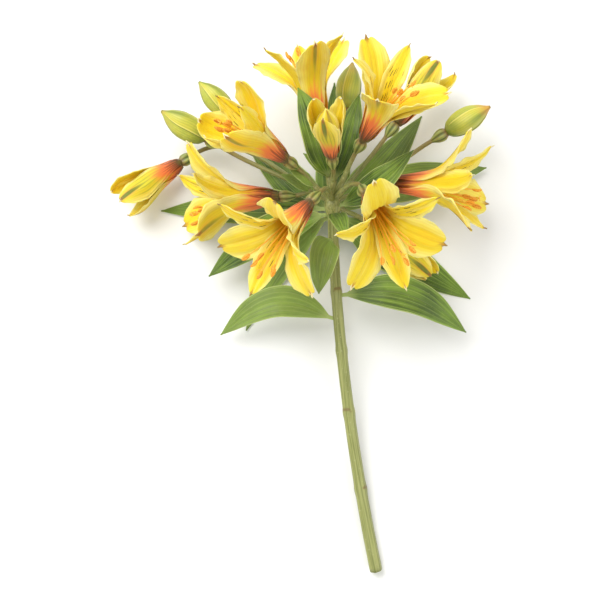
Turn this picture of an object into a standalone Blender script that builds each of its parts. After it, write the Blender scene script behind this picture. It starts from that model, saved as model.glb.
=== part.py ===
"""Alstroemeria stem, as cut, lying on a surface.

Metres, +Z up. The cut end is toward -Y and the head toward +Y. Places in the tables are millimetres
from the hub, the knob at the top of the stalk from which the umbel's rays grow.
"""

import math
import random
from collections import namedtuple

import bmesh
import bpy
from mathutils import Matrix, Vector

MM = 0.001

# Where the hub lies, so that the origin is under the middle of the whole stem.
HUB = Vector((16.7, 50.0, 29.0)) * MM

# The stalk, from the cut end to the hub.
STALK_LENGTH = 185 * MM
STALK_RADIUS_AT_CUT = 3.2 * MM
STALK_RADIUS_AT_HUB = 2.6 * MM
STALK_SIDEWAYS = 22 * MM
STALK_LYING_SHARE = 0.1
STALK_SIDES = 10
STALK_RINGS = 16
CUT_SLANT = math.radians(28)
SCAR_PLACES = (0.22, 0.43, 0.6, 0.76, 0.88)
SCAR_SWELL = 0.35 * MM

# The knob at the hub: distance along it and radius.
KNOB_PROFILE = (
    (-6.5 * MM, 2.6 * MM),
    (-3.0 * MM, 3.9 * MM),
    (1.0 * MM, 4.2 * MM),
    (3.5 * MM, 3.2 * MM),
    (5.2 * MM, 1.3 * MM),
)

# Rays and pedicels.
RAY_RADIUS = 1.5 * MM
PEDICEL_RADIUS = 1.15 * MM
RAY_SIDES = 5
RAY_RINGS = 5

# The ribbed ovary under each bloom, and the gap between its top and the tepals.
OVARY_LENGTH = 8 * MM
OVARY_RADIUS = 3.1 * MM
OVARY_SIDES = 8
SEAT_GAP = 0.3 * MM

# Blades: the tepals and the leaves.
TEPAL_THICKNESS = 0.6 * MM
LEAF_THICKNESS = 0.7 * MM
TEPAL_STATIONS = (0, 0.3, 0.52, 0.72, 0.88, 1)
TEPAL_COLUMNS = {"outer": 4, "inner": 2, "lower": 2}
LEAF_STATIONS = (0, 0.12, 0.27, 0.43, 0.6, 0.77, 0.91, 1)
LEAF_COLUMNS = 4
BRACT_STATIONS = (0, 0.25, 0.5, 0.78, 1)
BRACT_COLUMNS = 2
PRESS_SOFTNESS = 2.0 * MM

# Steps in which a midrib is followed.
STEPS = 100

# The tube of a bloom: its solid foot, the claws that stand round it and how far up they reach.
PLUG_PROFILE = ((0.0, 2.3 * MM), (1.5 * MM, 3.7 * MM), (5.0 * MM, 3.1 * MM))
PLUG_SIDES = 6
CLAW_RADIUS_OUTER = 3.5 * MM
CLAW_RADIUS_INNER = 2.3 * MM
CLAW_HALF_WIDTH = 1.9 * MM
CLAW_SHARE = 0.34
TUBE_FLARE = math.radians(11)

# Where along a tepal its limb has spread and its tip begins to turn, and the ripple of its edge.
SPREAD_SHARE = 0.68
TURN_SHARE = 0.66
TIP_HALF_WIDTH = 0.7 * MM
TEPAL_WAVE = 0.8 * MM
TEPAL_WAVES = 2.0

# Half-open blooms and buds: distance along the axis and radius, in millimetres.
HALF_OPEN_PROFILE = ((0, 2.3), (2, 3.6), (12, 4.7), (22, 6.4), (31, 4.8), (38, 0.7))
HALF_OPEN_SIDES = 9
BUD_PROFILE = ((0, 2.2), (2, 4.2), (8, 6.2), (15, 5.8), (21.5, 3.0), (26, 0.5))
BUD_SIDES = 12
LOBE_DEPTH = 0.08

# How a leaf narrows to its stalk and to its tip.
LEAF_SHOULDER = 0.8
LEAF_NARROWING_AT_STALK = 1.35
LEAF_NARROWING_AT_TIP = 0.9
LEAF_STALK_HALF_WIDTH = 1.0 * MM
LEAF_TIP_HALF_WIDTH = 0.35 * MM
LEAF_WAVES = 2.5

# Stamens.
STAMEN_DISC_RADIUS = 2.1 * MM
FILAMENT_RADIUS = 0.5 * MM
ANTHER_RADIUS = 1.1 * MM
ANTHER_LENGTH = 5.2 * MM
STAMEN_SIDES = 4
ANTHER_PROFILE = ((0.25, 0.9), (0.7, 1.0), (1.0, 0.35))

# One tepal: its length and greatest half width, where along it that is, and the angles off the
# bloom's axis at the mouth and at the tip, in degrees.
Tepal = namedtuple("Tepal", "length half_width widest mouth tip hollow blunt")

FORMS = {
    "open": {
        "outer": Tepal(54, 10.0, 0.76, 46, 60, 0.035, 2.6),
        "inner": Tepal(56, 6.0, 0.68, 34, 64, 0.060, 1.6),
        "lower": Tepal(53, 6.8, 0.70, 36, 32, 0.050, 1.8),
    },
    "wide": {
        "outer": Tepal(52, 10.2, 0.76, 60, 84, 0.025, 2.6),
        "inner": Tepal(56, 6.0, 0.68, 46, 74, 0.050, 1.6),
        "lower": Tepal(54, 6.8, 0.70, 44, 56, 0.045, 1.8),
    },
    "cup": {
        "outer": Tepal(49, 10.2, 0.74, 34, 2, 0.050, 2.6),
        "inner": Tepal(48, 6.0, 0.68, 22, 10, 0.070, 1.6),
        "lower": Tepal(47, 6.8, 0.70, 24, 6, 0.060, 1.8),
    },
    "half": {
        "outer": Tepal(40, 7.8, 0.64, 17, -14, 0.110, 2.2),
    },
}

# Azimuth of each tepal round the bloom's axis. The bloom's upper side is at 90 degrees.
WHORLS = (
    ("outer", 90),
    ("outer", 212),
    ("outer", 328),
    ("inner", 32),
    ("inner", 148),
    ("lower", 270),
)

# The free ends of the stamens, in millimetres, in the bloom's own frame.
STAMEN_ENDS = (
    (-6.5, -6.0, 41.0),
    (-3.0, -9.5, 38.5),
    (1.5, -10.5, 42.0),
    (5.5, -8.0, 39.0),
    (6.5, -3.5, 41.0),
    (-1.0, -4.5, 37.5),
)
STYLE_END = (2.0, -6.5, 44.0)
STAMEN_SPREAD = {"open": 1.0, "wide": 1.15, "cup": 0.62}

Bloom = namedtuple("Bloom", "name form ray foot facing upper size")

BLOOMS = (
    Bloom("bloom_1", "cup", "west_high", (-24, 18, 22), (-0.66, 0.30, 0.70), (0.2, 0.9, 0.4), 1.0),
    Bloom("bloom_2", "open", "west", (-28, 5, -3), (-0.97, -0.10, 0.20), (-0.1, 1, 0.25), 1.0),
    Bloom("bloom_3", "wide", "south_west", (-12, -6, 28), (-0.55, -0.70, 0.46), (0.1, 0.5, 0.9), 1.0),
    Bloom("bloom_4", "wide", "south", (16, -2, 28), (0.28, -0.70, 0.66), (-0.3, 0.7, 0.6), 1.0),
    Bloom("bloom_5", "open", "east", (30, 10, 4), (0.93, -0.12, 0.33), (-0.2, 0.9, 0.5), 1.0),
    Bloom("bloom_6", "open", "north_east", (15, 28, 22), (0.38, 0.50, 0.78), (-0.5, 0.8, -0.2), 0.95),
    Bloom("bloom_7", "open", "north", (-6, 36, 10), (-0.22, 0.93, 0.30), (0.1, -0.2, 1), 0.95),
)

HALF_OPEN = (
    Bloom("half_open_1", "half", "west", (-80, 27, -17), (-0.80, -0.58, 0.14), (0, 0, 1), 1.0),
    Bloom("half_open_2", "half", "north_east_low", (34, 46, -8), (0.60, 0.78, 0.15), (0, 0, 1), 1.0),
    Bloom("half_open_3", "half", "east_low", (24, -14, -6), (0.70, -0.70, 0.0), (0, 0, 1), 0.9),
    Bloom("half_open_4", "half", "top", (-1, 17, 31), (-0.10, 0.42, 0.90), (0, -1, 0.3), 0.9),
)

BUDS = (
    Bloom("bud_1", "bud", "west", (-66, 38, -8), (-0.85, 0.45, 0.30), (0, 0, 1), 1.05),
    Bloom("bud_2", "bud", "west_high", (-52, 46, 8), (-0.70, 0.65, 0.25), (0, 0, 1), 0.9),
    Bloom("bud_3", "bud", "east", (60, 40, -4), (0.85, 0.45, 0.25), (0, 0, 1), 1.0),
    Bloom("bud_4", "bud", "north_low", (8, 54, -8), (0.12, 0.98, -0.05), (0, 0, 1), 1.0),
)

# Each ray of the umbel: the point where it forks into its pedicels.
RAYS = {
    "west_high": (-9, 8, 7),
    "west": (-10, 7, -3),
    "south_west": (-2, 4, 12),
    "south": (5, 5, 11),
    "east": (12, 6, -1),
    "east_low": (6, -2, -4),
    "north_east": (6, 13, 7),
    "north_east_low": (9, 13, -6),
    "north": (-2, 14, 2),
    "north_low": (1, 14, -5),
    "top": (0, 9, 12),
}

# A leaf sits on the stalk this far below the hub, or at a ray's fork, and round it, from 0 at the
# right over 90 at the top.
Leaf = namedtuple("Leaf", "name seat round start end length half_width face gutter wave")

LEAVES = (
    Leaf("leaf_01", "north", 95, (-0.10, 0.50, 0.85), (-0.42, 0.90, 0.0), 52, 10.0, (0.2, -0.2, 1), 22, 0.6),
    Leaf("leaf_02", 2, 196, (-0.80, 0.20, -0.65), (-0.99, -0.05, 0.0), 94, 10.0, (0, 0, 1), 26, 0.8),
    Leaf("leaf_03", 6, 214, (-0.70, -0.30, -0.70), (-0.35, -0.93, 0.0), 80, 9.5, (0.2, 0, 1), 24, 0.8),
    Leaf("leaf_04", 5, 172, (-0.90, -0.15, -0.25), (-0.75, -0.62, -0.1), 70, 10.0, (0.3, -0.3, 1), 24, 0.8),
    Leaf("leaf_05", 5, 80, (0.15, -0.35, 0.9), (0.3, -0.9, 0.3), 24, 5.0, (0, 0.6, 0.8), 12, 0.3),
    Leaf("leaf_06", 18, 110, (-0.3, -0.5, 0.8), (-0.05, -0.95, -0.3), 36, 8.5, (0.3, 0.3, 1), 9, 0.5),
    Leaf("leaf_07", 6, 326, (0.70, -0.30, -0.70), (0.85, -0.52, 0.0), 88, 12.0, (0, 0, 1), 30, 0.8),
    Leaf("leaf_08", 2, 304, (0.45, 0.50, -0.75), (0.60, 0.80, 0.0), 84, 10.5, (0, 0, 1), 26, 0.8),
    Leaf("leaf_09", 2, 270, (0.02, 0.50, -0.80), (0.02, 1, 0.0), 92, 9.5, (0, 0, 1), 26, 0.8),
    Leaf("leaf_10", 2, 236, (-0.45, 0.50, -0.75), (-0.65, 0.76, 0.0), 82, 10.0, (0, 0, 1), 26, 0.8),
    Leaf("leaf_11", "east", 270, (0.80, 0.30, -0.50), (0.97, 0.22, -0.08), 78, 10.5, (0, 0, 1), 26, 0.8),
    Leaf("leaf_12", 1, 25, (0.80, 0.30, 0.50), (0.7, 0.65, 0.30), 48, 7.5, (-0.3, 0.1, 1), 18, 0.5),
    Leaf("leaf_13", 46, 10, (0.9, 0.1, 0.35), (0.8, -0.55, -0.45), 72, 9.5, (0, 0, 1), 22, 0.7),
    Leaf("leaf_14", 58, 165, (-0.75, 0.4, 0.15), (-0.75, -0.55, -0.4), 66, 8.5, (0, 0, 1), 22, 0.7),
    Leaf("leaf_15", "north_low", 80, (0.3, 0.9, 0.3), (0.25, 0.95, 0.15), 46, 7.5, (-0.2, 0, 1), 20, 0.6),
)

# The small bracts where the rays fork, which grow in one with the stalk: the ray, then as above.
Bract = namedtuple("Bract", "name ray start end length half_width face gutter wave")

BRACTS = (
    Bract("bract_1", "west_high", (-0.6, 0.3, 0.7), (-0.8, 0.5, 0.1), 18, 3.4, (0, 0.3, 1), 8, 0.2),
    Bract("bract_2", "west", (-0.7, 0.6, 0.1), (-0.9, 0.4, -0.2), 20, 3.4, (0, 0, 1), 8, 0.2),
    Bract("bract_3", "east", (0.6, 0.6, 0.1), (0.9, 0.5, 0.1), 20, 3.4, (0, 0, 1), 8, 0.2),
    Bract("bract_4", "north", (-0.6, 0.7, 0.3), (-0.8, 0.6, 0.1), 18, 3.2, (0.2, 0, 1), 8, 0.2),
)

COLOURS = {
    "stalk": ((0.36, 0.44, 0.20), 0.5),
    "leaf": ((0.13, 0.28, 0.06), 0.4),
    "tepals": ((0.95, 0.72, 0.06), 0.5),
    "stamens": ((0.90, 0.42, 0.04), 0.6),
    "bud": ((0.50, 0.56, 0.13), 0.5),
}


def material(kind):
    """The plain colour of one kind of piece."""
    found = bpy.data.materials.get(kind)
    if found:
        return found
    made = bpy.data.materials.new(kind)
    made.use_nodes = True
    shader = made.node_tree.nodes["Principled BSDF"]
    colour, roughness = COLOURS[kind]
    shader.inputs["Base Color"].default_value = (*colour, 1)
    shader.inputs["Roughness"].default_value = roughness
    return made


def smooth(x):
    """0 up to 0, 1 from 1 on, and an easy curve between."""
    x = min(max(x, 0.0), 1.0)
    return x * x * (3 - 2 * x)


def from_hub(place):
    return HUB + Vector(place) * MM


def pressed(point, lift, softness=0.0):
    """The point, kept at least lift above the surface that the stem lies on."""
    above = point.z - lift
    if above >= softness:
        return point
    height = lift
    if above > -softness:
        height += (above + softness) ** 2 / (4 * softness)
    return Vector((point.x, point.y, height))


def new_object(name, bm, kind):
    mesh = bpy.data.meshes.new(name)
    bm.to_mesh(mesh)
    bm.free()
    mesh.materials.append(material(kind))
    obj = bpy.data.objects.new(name, mesh)
    bpy.context.scene.collection.objects.link(obj)
    return obj


def skin(name, rings, kind):
    """A closed body through rings of points, capped at both ends."""
    bm = bmesh.new()
    loops = [[bm.verts.new(point) for point in ring] for ring in rings]
    for low, high in zip(loops, loops[1:]):
        for i in range(len(low)):
            j = (i + 1) % len(low)
            bm.faces.new((low[i], low[j], high[j], high[i]))
    bm.faces.new(loops[0][::-1])
    bm.faces.new(loops[-1])
    bmesh.ops.recalc_face_normals(bm, faces=bm.faces)
    return new_object(name, bm, kind)


def bezier(points, count):
    """Points along a cubic curve, with its direction at each."""
    a, b, c, d = points
    places = []
    for i in range(count):
        t = i / (count - 1)
        s = 1 - t
        place = a * s**3 + b * 3 * s * s * t + c * 3 * s * t * t + d * t**3
        heading = (b - a) * s * s + (c - b) * 2 * s * t + (d - c) * t * t
        places.append((place, heading.normalized()))
    return places


def tube(name, path, radii, sides, kind):
    """A round body along a path of points and directions, with a flat underneath."""
    rings = []
    across = path[0][1].cross(Vector((0, 0, 1)))
    for (place, heading), radius in zip(path, radii):
        across = (across - heading * across.dot(heading)).normalized()
        up = heading.cross(across)
        turns = [2 * math.pi * (i + 0.5) / sides + math.pi / 2 for i in range(sides)]
        ring = [place + (across * math.cos(t) + up * math.sin(t)) * radius for t in turns]
        rings.append([pressed(point, 0.0) for point in ring])
    return skin(name, rings, kind)


def blade(name, sections, columns, thickness, kind, wave, waves, phase):
    """A leaf or tepal: a grid laid over its cross-sections, then given its thickness.

    A section is how far along it lies, its middle, the directions across and up, its half width
    and its curvature.
    """
    rows = len(sections) - 1
    bm = bmesh.new()
    bmesh.ops.create_grid(bm, x_segments=columns, y_segments=rows, size=1)
    for vert in bm.verts:
        side = vert.co.x
        row = round((vert.co.y + 1) / 2 * rows)
        u, middle, across, up, half_width, curve = sections[row]
        turn = side * half_width * curve
        sideways = math.sin(turn) / curve
        rise = (1 - math.cos(turn)) / curve
        ripple = math.sin(2 * math.pi * waves * u + phase + side) * smooth(u * 3) * smooth((1 - u) * 3)
        rise += wave * side * side * ripple
        vert.co = pressed(middle + across * sideways + up * rise, thickness / 2, PRESS_SOFTNESS)
    bmesh.ops.triangulate(bm, faces=bm.faces)
    obj = new_object(name, bm, kind)
    solid = obj.modifiers.new("thickness", "SOLIDIFY")
    solid.thickness = thickness
    solid.offset = 0
    return obj


def fused(name, pieces):
    """One body from pieces that overlap: a Boolean union on a collection, applied."""
    first, others = pieces[0], pieces[1:]
    group = bpy.data.collections.new(name + "_group")
    for piece in others:
        group.objects.link(piece)
    union = first.modifiers.new("union", "BOOLEAN")
    union.operation = "UNION"
    union.operand_type = "COLLECTION"
    union.collection = group
    union.solver = "MANIFOLD"
    bpy.context.view_layer.update()
    graph = bpy.context.evaluated_depsgraph_get()
    mesh = bpy.data.meshes.new_from_object(first.evaluated_get(graph))
    first.modifiers.clear()
    first.data = mesh
    first.name = name
    mesh.name = name
    for piece in others:
        bpy.data.objects.remove(piece)
    bpy.data.collections.remove(group)
    return first


def bloom_frame(bloom):
    """From the bloom's own frame to the stem's: its axis is +Z, its upper side +Y."""
    axis = Vector(bloom.facing).normalized()
    upper = Vector(bloom.upper)
    upper = (upper - axis * upper.dot(axis)).normalized()
    turn = Matrix((upper.cross(axis), upper, axis)).transposed().to_4x4()
    return Matrix.Translation(from_hub(bloom.foot)) @ turn


def tepal_half_width(shape, u, size):
    """From the narrow claw to the limb's widest place, and round to the tip."""
    body = shape.half_width * MM * size
    claw = CLAW_HALF_WIDTH + (body / 2 - CLAW_HALF_WIDTH) * smooth(u / 0.42)
    width = claw + (body - claw) * smooth((u - 0.22) / (shape.widest - 0.22))
    past = max(0.0, (u - shape.widest) / (1 - shape.widest))
    return max(width * math.sqrt(max(0.0, 1 - past**shape.blunt)), TIP_HALF_WIDTH)


def tepal_sections(shape, azimuth, frame, size, claw_radius, rng):
    """Cross-sections from the claw to the tip, found by following the midrib."""
    out = Vector((math.cos(azimuth), math.sin(azimuth), 0))
    across = Vector((-math.sin(azimuth), math.cos(azimuth), 0))
    axis = Vector((0, 0, 1))
    turn = frame.to_3x3()
    mouth = math.radians(shape.mouth + rng.uniform(-5, 5))
    tip = math.radians(shape.tip + rng.uniform(-7, 7))
    length = shape.length * MM * size * rng.uniform(0.97, 1.03)
    sway = rng.uniform(-0.06, 0.06)
    radius, height = claw_radius, 0.0
    sections = []
    for step in range(STEPS + 1):
        u = step / STEPS
        angle = TUBE_FLARE + (mouth - TUBE_FLARE) * smooth((u - CLAW_SHARE) / (SPREAD_SHARE - CLAW_SHARE))
        angle += (tip - mouth) * smooth((u - TURN_SHARE) / (1 - TURN_SHARE))
        if u in TEPAL_STATIONS:
            limb = smooth((u - CLAW_SHARE) / 0.3)
            curve = (1 - limb) / radius + limb * shape.hollow / MM
            up = turn @ (-out * math.cos(angle) + axis * math.sin(angle))
            middle = frame @ (out * radius + axis * height + across * (sway * length * limb * u))
            half_width = tepal_half_width(shape, u, size)
            sections.append((u, middle, turn @ across, up, half_width, curve))
        radius += math.sin(angle) * length / STEPS
        height += math.cos(angle) * length / STEPS
    return sections


def turned(name, frame, profile, sides, kind, lobes=0, depth=0.0):
    """A turned body on the frame's axis, with low lobes round it."""
    rings = []
    for height, radius in profile:
        ring = []
        for i in range(sides):
            t = 2 * math.pi * i / sides
            r = radius * (1 + depth * math.cos(lobes * t))
            point = frame @ Vector((math.cos(t) * r, math.sin(t) * r, height))
            ring.append(pressed(point, 0.0))
        rings.append(ring)
    return skin(name, rings, kind)


def tepal(name, shape, azimuth, bloom, claw_radius, columns, wave, rng):
    sections = tepal_sections(shape, azimuth, bloom_frame(bloom), bloom.size, claw_radius, rng)
    phase = rng.uniform(0, 2 * math.pi)
    return blade(name, sections, columns, TEPAL_THICKNESS, "tepals", wave, TEPAL_WAVES, phase)


def make_tepals(bloom, rng):
    """Six tepals on the solid foot of the tube, which all the claws grow from."""
    pieces = [turned(bloom.name, bloom_frame(bloom), PLUG_PROFILE, PLUG_SIDES, "tepals")]
    for i, (whorl, azimuth) in enumerate(WHORLS):
        shape = FORMS[bloom.form][whorl]
        claw_radius = CLAW_RADIUS_OUTER if whorl == "outer" else CLAW_RADIUS_INNER
        turn = math.radians(azimuth + rng.uniform(-4, 4))
        name = f"{bloom.name}_{i}"
        pieces.append(tepal(name, shape, turn, bloom, claw_radius, TEPAL_COLUMNS[whorl], TEPAL_WAVE, rng))
    return fused(bloom.name + "_tepals", pieces)


def make_stamens(bloom, rng):
    """Six stamens and the style on one small disc above the plug."""
    frame = bloom_frame(bloom)
    foot = PLUG_PROFILE[-1][0] + SEAT_GAP
    disc = ((foot, STAMEN_DISC_RADIUS), (foot + 1.4 * MM, STAMEN_DISC_RADIUS * 0.8))
    pieces = [turned(bloom.name + "_disc", frame, disc, 6, "stamens")]
    spread = STAMEN_SPREAD[bloom.form] * bloom.size
    ends = [(end, True) for end in STAMEN_ENDS] + [(STYLE_END, False)]
    for i, (end, has_anther) in enumerate(ends):
        t = math.pi + 2 * math.pi * i / len(STAMEN_ENDS)
        ring = STAMEN_DISC_RADIUS * 0.72 if has_anther else 0.0
        start = Vector((math.cos(t) * ring, math.sin(t) * ring, foot + 0.7 * MM))
        x = (end[0] * spread + rng.uniform(-0.6, 0.6)) * MM
        y = end[1] * spread * MM
        z = end[2] * bloom.size * MM
        guides = (
            start,
            Vector((start.x + x * 0.1, start.y + y * 0.1, 16 * MM)),
            Vector((x * 0.4, y * 0.55, 27 * MM)),
            Vector((x, y, z)),
        )
        path = [(frame @ p, frame.to_3x3() @ d) for p, d in bezier(guides, 4)]
        radii = [FILAMENT_RADIUS] * 4
        if has_anther:
            tip, heading = path[-1]
            for share, radius in ANTHER_PROFILE:
                path.append((tip + heading * ANTHER_LENGTH * share, heading))
                radii.append(ANTHER_RADIUS * radius)
        pieces.append(tube(f"{bloom.name}_s{i}", path, radii, STAMEN_SIDES, "stamens"))
    return fused(bloom.name + "_stamens", pieces)


def make_half_open(bloom, rng):
    """Three outer tepals just parting round the closed inner ones."""
    profile = [(along * bloom.size * MM, radius * bloom.size * MM) for along, radius in HALF_OPEN_PROFILE]
    pieces = [turned(bloom.name, bloom_frame(bloom), profile, HALF_OPEN_SIDES, "tepals", 3, LOBE_DEPTH)]
    shape = FORMS["half"]["outer"]
    claw_radius = CLAW_RADIUS_OUTER * bloom.size
    columns = TEPAL_COLUMNS["outer"]
    for i in range(3):
        turn = math.radians(90 + 120 * i)
        name = f"{bloom.name}_{i}"
        pieces.append(tepal(name, shape, turn, bloom, claw_radius, columns, TEPAL_WAVE / 2, rng))
    return fused(bloom.name, pieces)


def make_bud(bloom):
    """A closed bud: three outer tepals pressed together into one pointed body."""
    profile = [(along * bloom.size * MM, radius * bloom.size * MM) for along, radius in BUD_PROFILE]
    return turned(bloom.name, bloom_frame(bloom), profile, BUD_SIDES, "bud", 3, LOBE_DEPTH)


def leaf_half_width(leaf, u):
    """Narrow at its stalk, widest near its middle, and drawn out to its tip."""
    along = u**LEAF_SHOULDER
    full = max(0.0, math.sin(math.pi * along))
    if along < 0.5:
        return max(leaf.half_width * MM * full**LEAF_NARROWING_AT_STALK, LEAF_STALK_HALF_WIDTH)
    return max(leaf.half_width * MM * full**LEAF_NARROWING_AT_TIP, LEAF_TIP_HALF_WIDTH)


def leaf_sections(leaf, foot, stations):
    """Cross-sections from the foot to the tip, found by following the midrib."""
    start = Vector(leaf.start).normalized()
    end = Vector(leaf.end).normalized()
    face = Vector(leaf.face)
    place = foot.copy()
    sections = []
    for step in range(STEPS + 1):
        u = step / STEPS
        heading = start.lerp(end, smooth(u * 1.15)).normalized()
        if u in stations:
            up = (face - heading * face.dot(heading)).normalized()
            curve = 1 / (leaf.gutter * MM)
            sections.append((u, place.copy(), heading.cross(up), up, leaf_half_width(leaf, u), curve))
        place += heading * (leaf.length * MM / STEPS)
    return sections


def make_leaf(leaf):
    """A leaf seated a hair off the stalk or ray that it grows from."""
    turn = math.radians(leaf.round)
    outward = Vector((math.cos(turn), 0, math.sin(turn)))
    if leaf.seat in RAYS:
        middle, radius = from_hub(RAYS[leaf.seat]), RAY_RADIUS
    else:
        below = leaf.seat * MM
        middle, radius = stalk_point(1 - below / STALK_LENGTH), seat_radius(below)
    _, _, across, up, half_width, _ = leaf_sections(leaf, middle, LEAF_STATIONS)[0]
    corner = abs(across.dot(outward)) * half_width + abs(up.dot(outward)) * LEAF_THICKNESS / 2
    foot = middle + outward * (radius + SEAT_GAP + corner)
    sections = leaf_sections(leaf, foot, LEAF_STATIONS)
    wave = leaf.wave * MM
    return blade(leaf.name, sections, LEAF_COLUMNS, LEAF_THICKNESS, "leaf", wave, LEAF_WAVES, leaf.round)


def make_bract(bract):
    sections = leaf_sections(bract, from_hub(RAYS[bract.ray]), BRACT_STATIONS)
    wave = bract.wave * MM
    return blade(bract.name, sections, BRACT_COLUMNS, LEAF_THICKNESS, "stalk", wave, LEAF_WAVES, 0.0)


def stalk_point(share):
    """A place on the stalk's middle line: 0 at the cut end, 1 at the hub."""
    back = 1 - share
    rise = max(0.0, (share - STALK_LYING_SHARE) / (1 - STALK_LYING_SHARE)) ** 1.2
    lying = STALK_RADIUS_AT_CUT * math.cos(math.pi / STALK_SIDES)
    height = lying + (HUB.z - lying) * rise
    return Vector((HUB.x + STALK_SIDEWAYS * back**1.7, HUB.y - STALK_LENGTH * back, height))


def stalk_radius(share):
    radius = STALK_RADIUS_AT_CUT + (STALK_RADIUS_AT_HUB - STALK_RADIUS_AT_CUT) * share
    for place in SCAR_PLACES:
        radius += SCAR_SWELL * max(0.0, 1 - abs(share - place) / 0.025)
    return radius


def seat_radius(below):
    """How far from its middle line the stalk or the knob reaches, this far below the hub."""
    reach = stalk_radius(1 - below / STALK_LENGTH)
    for (low, r_low), (high, r_high) in zip(KNOB_PROFILE, KNOB_PROFILE[1:]):
        if low <= -below <= high:
            reach = max(reach, r_low + (r_high - r_low) * (-below - low) / (high - low))
    return reach


def main_stalk():
    shares = sorted({i / STALK_RINGS for i in range(STALK_RINGS + 1)} | set(SCAR_PLACES))
    path = []
    for share in shares:
        ahead, behind = stalk_point(min(1, share + 0.01)), stalk_point(max(0, share - 0.01))
        path.append((stalk_point(share), (ahead - behind).normalized()))
    first, heading = path[0]
    slant = Matrix.Rotation(CUT_SLANT, 3, "X")
    path[0] = (first, slant @ heading)
    radii = [stalk_radius(share) for share in shares]
    return tube("stalk", path, radii, STALK_SIDES, "stalk")


def ray_tube(name, start, leaving, end, arriving, radius_start, radius_end):
    reach = (end - start).length
    guides = (start, start + leaving * reach * 0.35, end - arriving * reach * 0.4, end)
    path = bezier(guides, RAY_RINGS)
    last = RAY_RINGS - 1
    radii = [radius_start + (radius_end - radius_start) * i / last for i in range(RAY_RINGS)]
    return tube(name, path, radii, RAY_SIDES, "stalk")


def ovary(bloom):
    """Widest above its middle, with a flat top under the tepals."""
    r = OVARY_RADIUS * bloom.size
    low = -SEAT_GAP - OVARY_LENGTH
    profile = (
        (low - 1.0 * MM, PEDICEL_RADIUS * 0.9),
        (low + 3.0 * MM, r * 0.9),
        (low + 6.0 * MM, r),
        (-SEAT_GAP, r * 0.66),
    )
    return turned(bloom.name + "_ovary", bloom_frame(bloom), profile, OVARY_SIDES, "stalk")


def make_stalk():
    """The stalk with its knob, rays, pedicels, ovaries and bracts, grown in one."""
    pieces = [main_stalk()]
    knob = Matrix.Translation(HUB) @ Matrix.Rotation(math.radians(-80), 4, "X")
    pieces.append(turned("knob", knob, KNOB_PROFILE, 10, "stalk"))
    for name, fork in RAYS.items():
        end = from_hub(fork)
        outward = (end - HUB).normalized()
        leaving = (outward + Vector((0, 1, 0.2))).normalized()
        pieces.append(ray_tube(name, HUB, leaving, end, outward, RAY_RADIUS * 1.1, RAY_RADIUS))
    for bloom in BLOOMS + HALF_OPEN + BUDS:
        fork = from_hub(RAYS[bloom.ray])
        outward = (fork - HUB).normalized()
        facing = Vector(bloom.facing).normalized()
        foot = from_hub(bloom.foot) - facing * OVARY_LENGTH
        start = fork - outward * 0.6 * MM
        name = bloom.name + "_pedicel"
        pieces.append(ray_tube(name, start, outward, foot, facing, PEDICEL_RADIUS * 1.1, PEDICEL_RADIUS))
        pieces.append(ovary(bloom))
    pieces += [make_bract(bract) for bract in BRACTS]
    return fused("stalk", pieces)


def clear_scene():
    for obj in list(bpy.data.objects):
        bpy.data.objects.remove(obj)


def main():
    clear_scene()
    make_stalk()
    for number, bloom in enumerate(BLOOMS):
        rng = random.Random(100 + number)
        make_tepals(bloom, rng)
        make_stamens(bloom, rng)
    for number, bloom in enumerate(HALF_OPEN):
        make_half_open(bloom, random.Random(200 + number))
    for bud in BUDS:
        make_bud(bud)
    for leaf in LEAVES:
        make_leaf(leaf)
    for obj in bpy.context.scene.collection.objects:
        for face in obj.data.polygons:
            face.use_smooth = True


main()
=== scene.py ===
"""The looks of the alstroemeria stem: petals, stamens, buds, leaves, stalk and a plain studio.

Metres, +Z up. The stem lies on the floor with its cut end toward -Y and its head toward +Y. Places in
the tables are millimetres from the hub, the knob at the top of the stalk from which the rays grow.
"""

import math
import random
from collections import namedtuple

import bpy
from mathutils import Matrix, Vector


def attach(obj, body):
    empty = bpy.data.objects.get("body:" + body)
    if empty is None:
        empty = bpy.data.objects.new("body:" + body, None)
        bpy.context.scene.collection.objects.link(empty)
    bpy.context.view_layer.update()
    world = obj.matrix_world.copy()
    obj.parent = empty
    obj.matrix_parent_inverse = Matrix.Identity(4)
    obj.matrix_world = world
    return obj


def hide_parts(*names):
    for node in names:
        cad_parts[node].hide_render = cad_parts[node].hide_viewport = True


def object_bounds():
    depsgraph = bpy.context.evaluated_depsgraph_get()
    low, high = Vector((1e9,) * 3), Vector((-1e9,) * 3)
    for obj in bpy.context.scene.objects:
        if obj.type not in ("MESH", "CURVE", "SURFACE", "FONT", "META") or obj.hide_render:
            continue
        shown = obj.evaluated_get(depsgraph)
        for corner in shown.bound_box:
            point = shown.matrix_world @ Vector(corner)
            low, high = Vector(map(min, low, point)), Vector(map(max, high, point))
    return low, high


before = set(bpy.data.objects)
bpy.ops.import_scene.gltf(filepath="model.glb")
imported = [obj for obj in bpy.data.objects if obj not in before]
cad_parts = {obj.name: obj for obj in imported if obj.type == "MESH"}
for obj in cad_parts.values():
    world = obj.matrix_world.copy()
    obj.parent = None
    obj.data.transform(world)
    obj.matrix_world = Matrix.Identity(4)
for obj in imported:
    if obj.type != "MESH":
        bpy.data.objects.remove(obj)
CAD_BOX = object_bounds()

bl_info = {
    "name": "Alstroemeria stem",
    "version": (1, 0, 0),
    "blender": (4, 5, 0),
    "location": "View3D > Sidebar > Alstroemeria",
    "description": "Dresses the alstroemeria stem with its petals, leaves and stalk, and lights it",
    "category": "Object",
}

MM = 0.001

# Steps along the midrib of a petal or a leaf.
STEPS = 100

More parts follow.
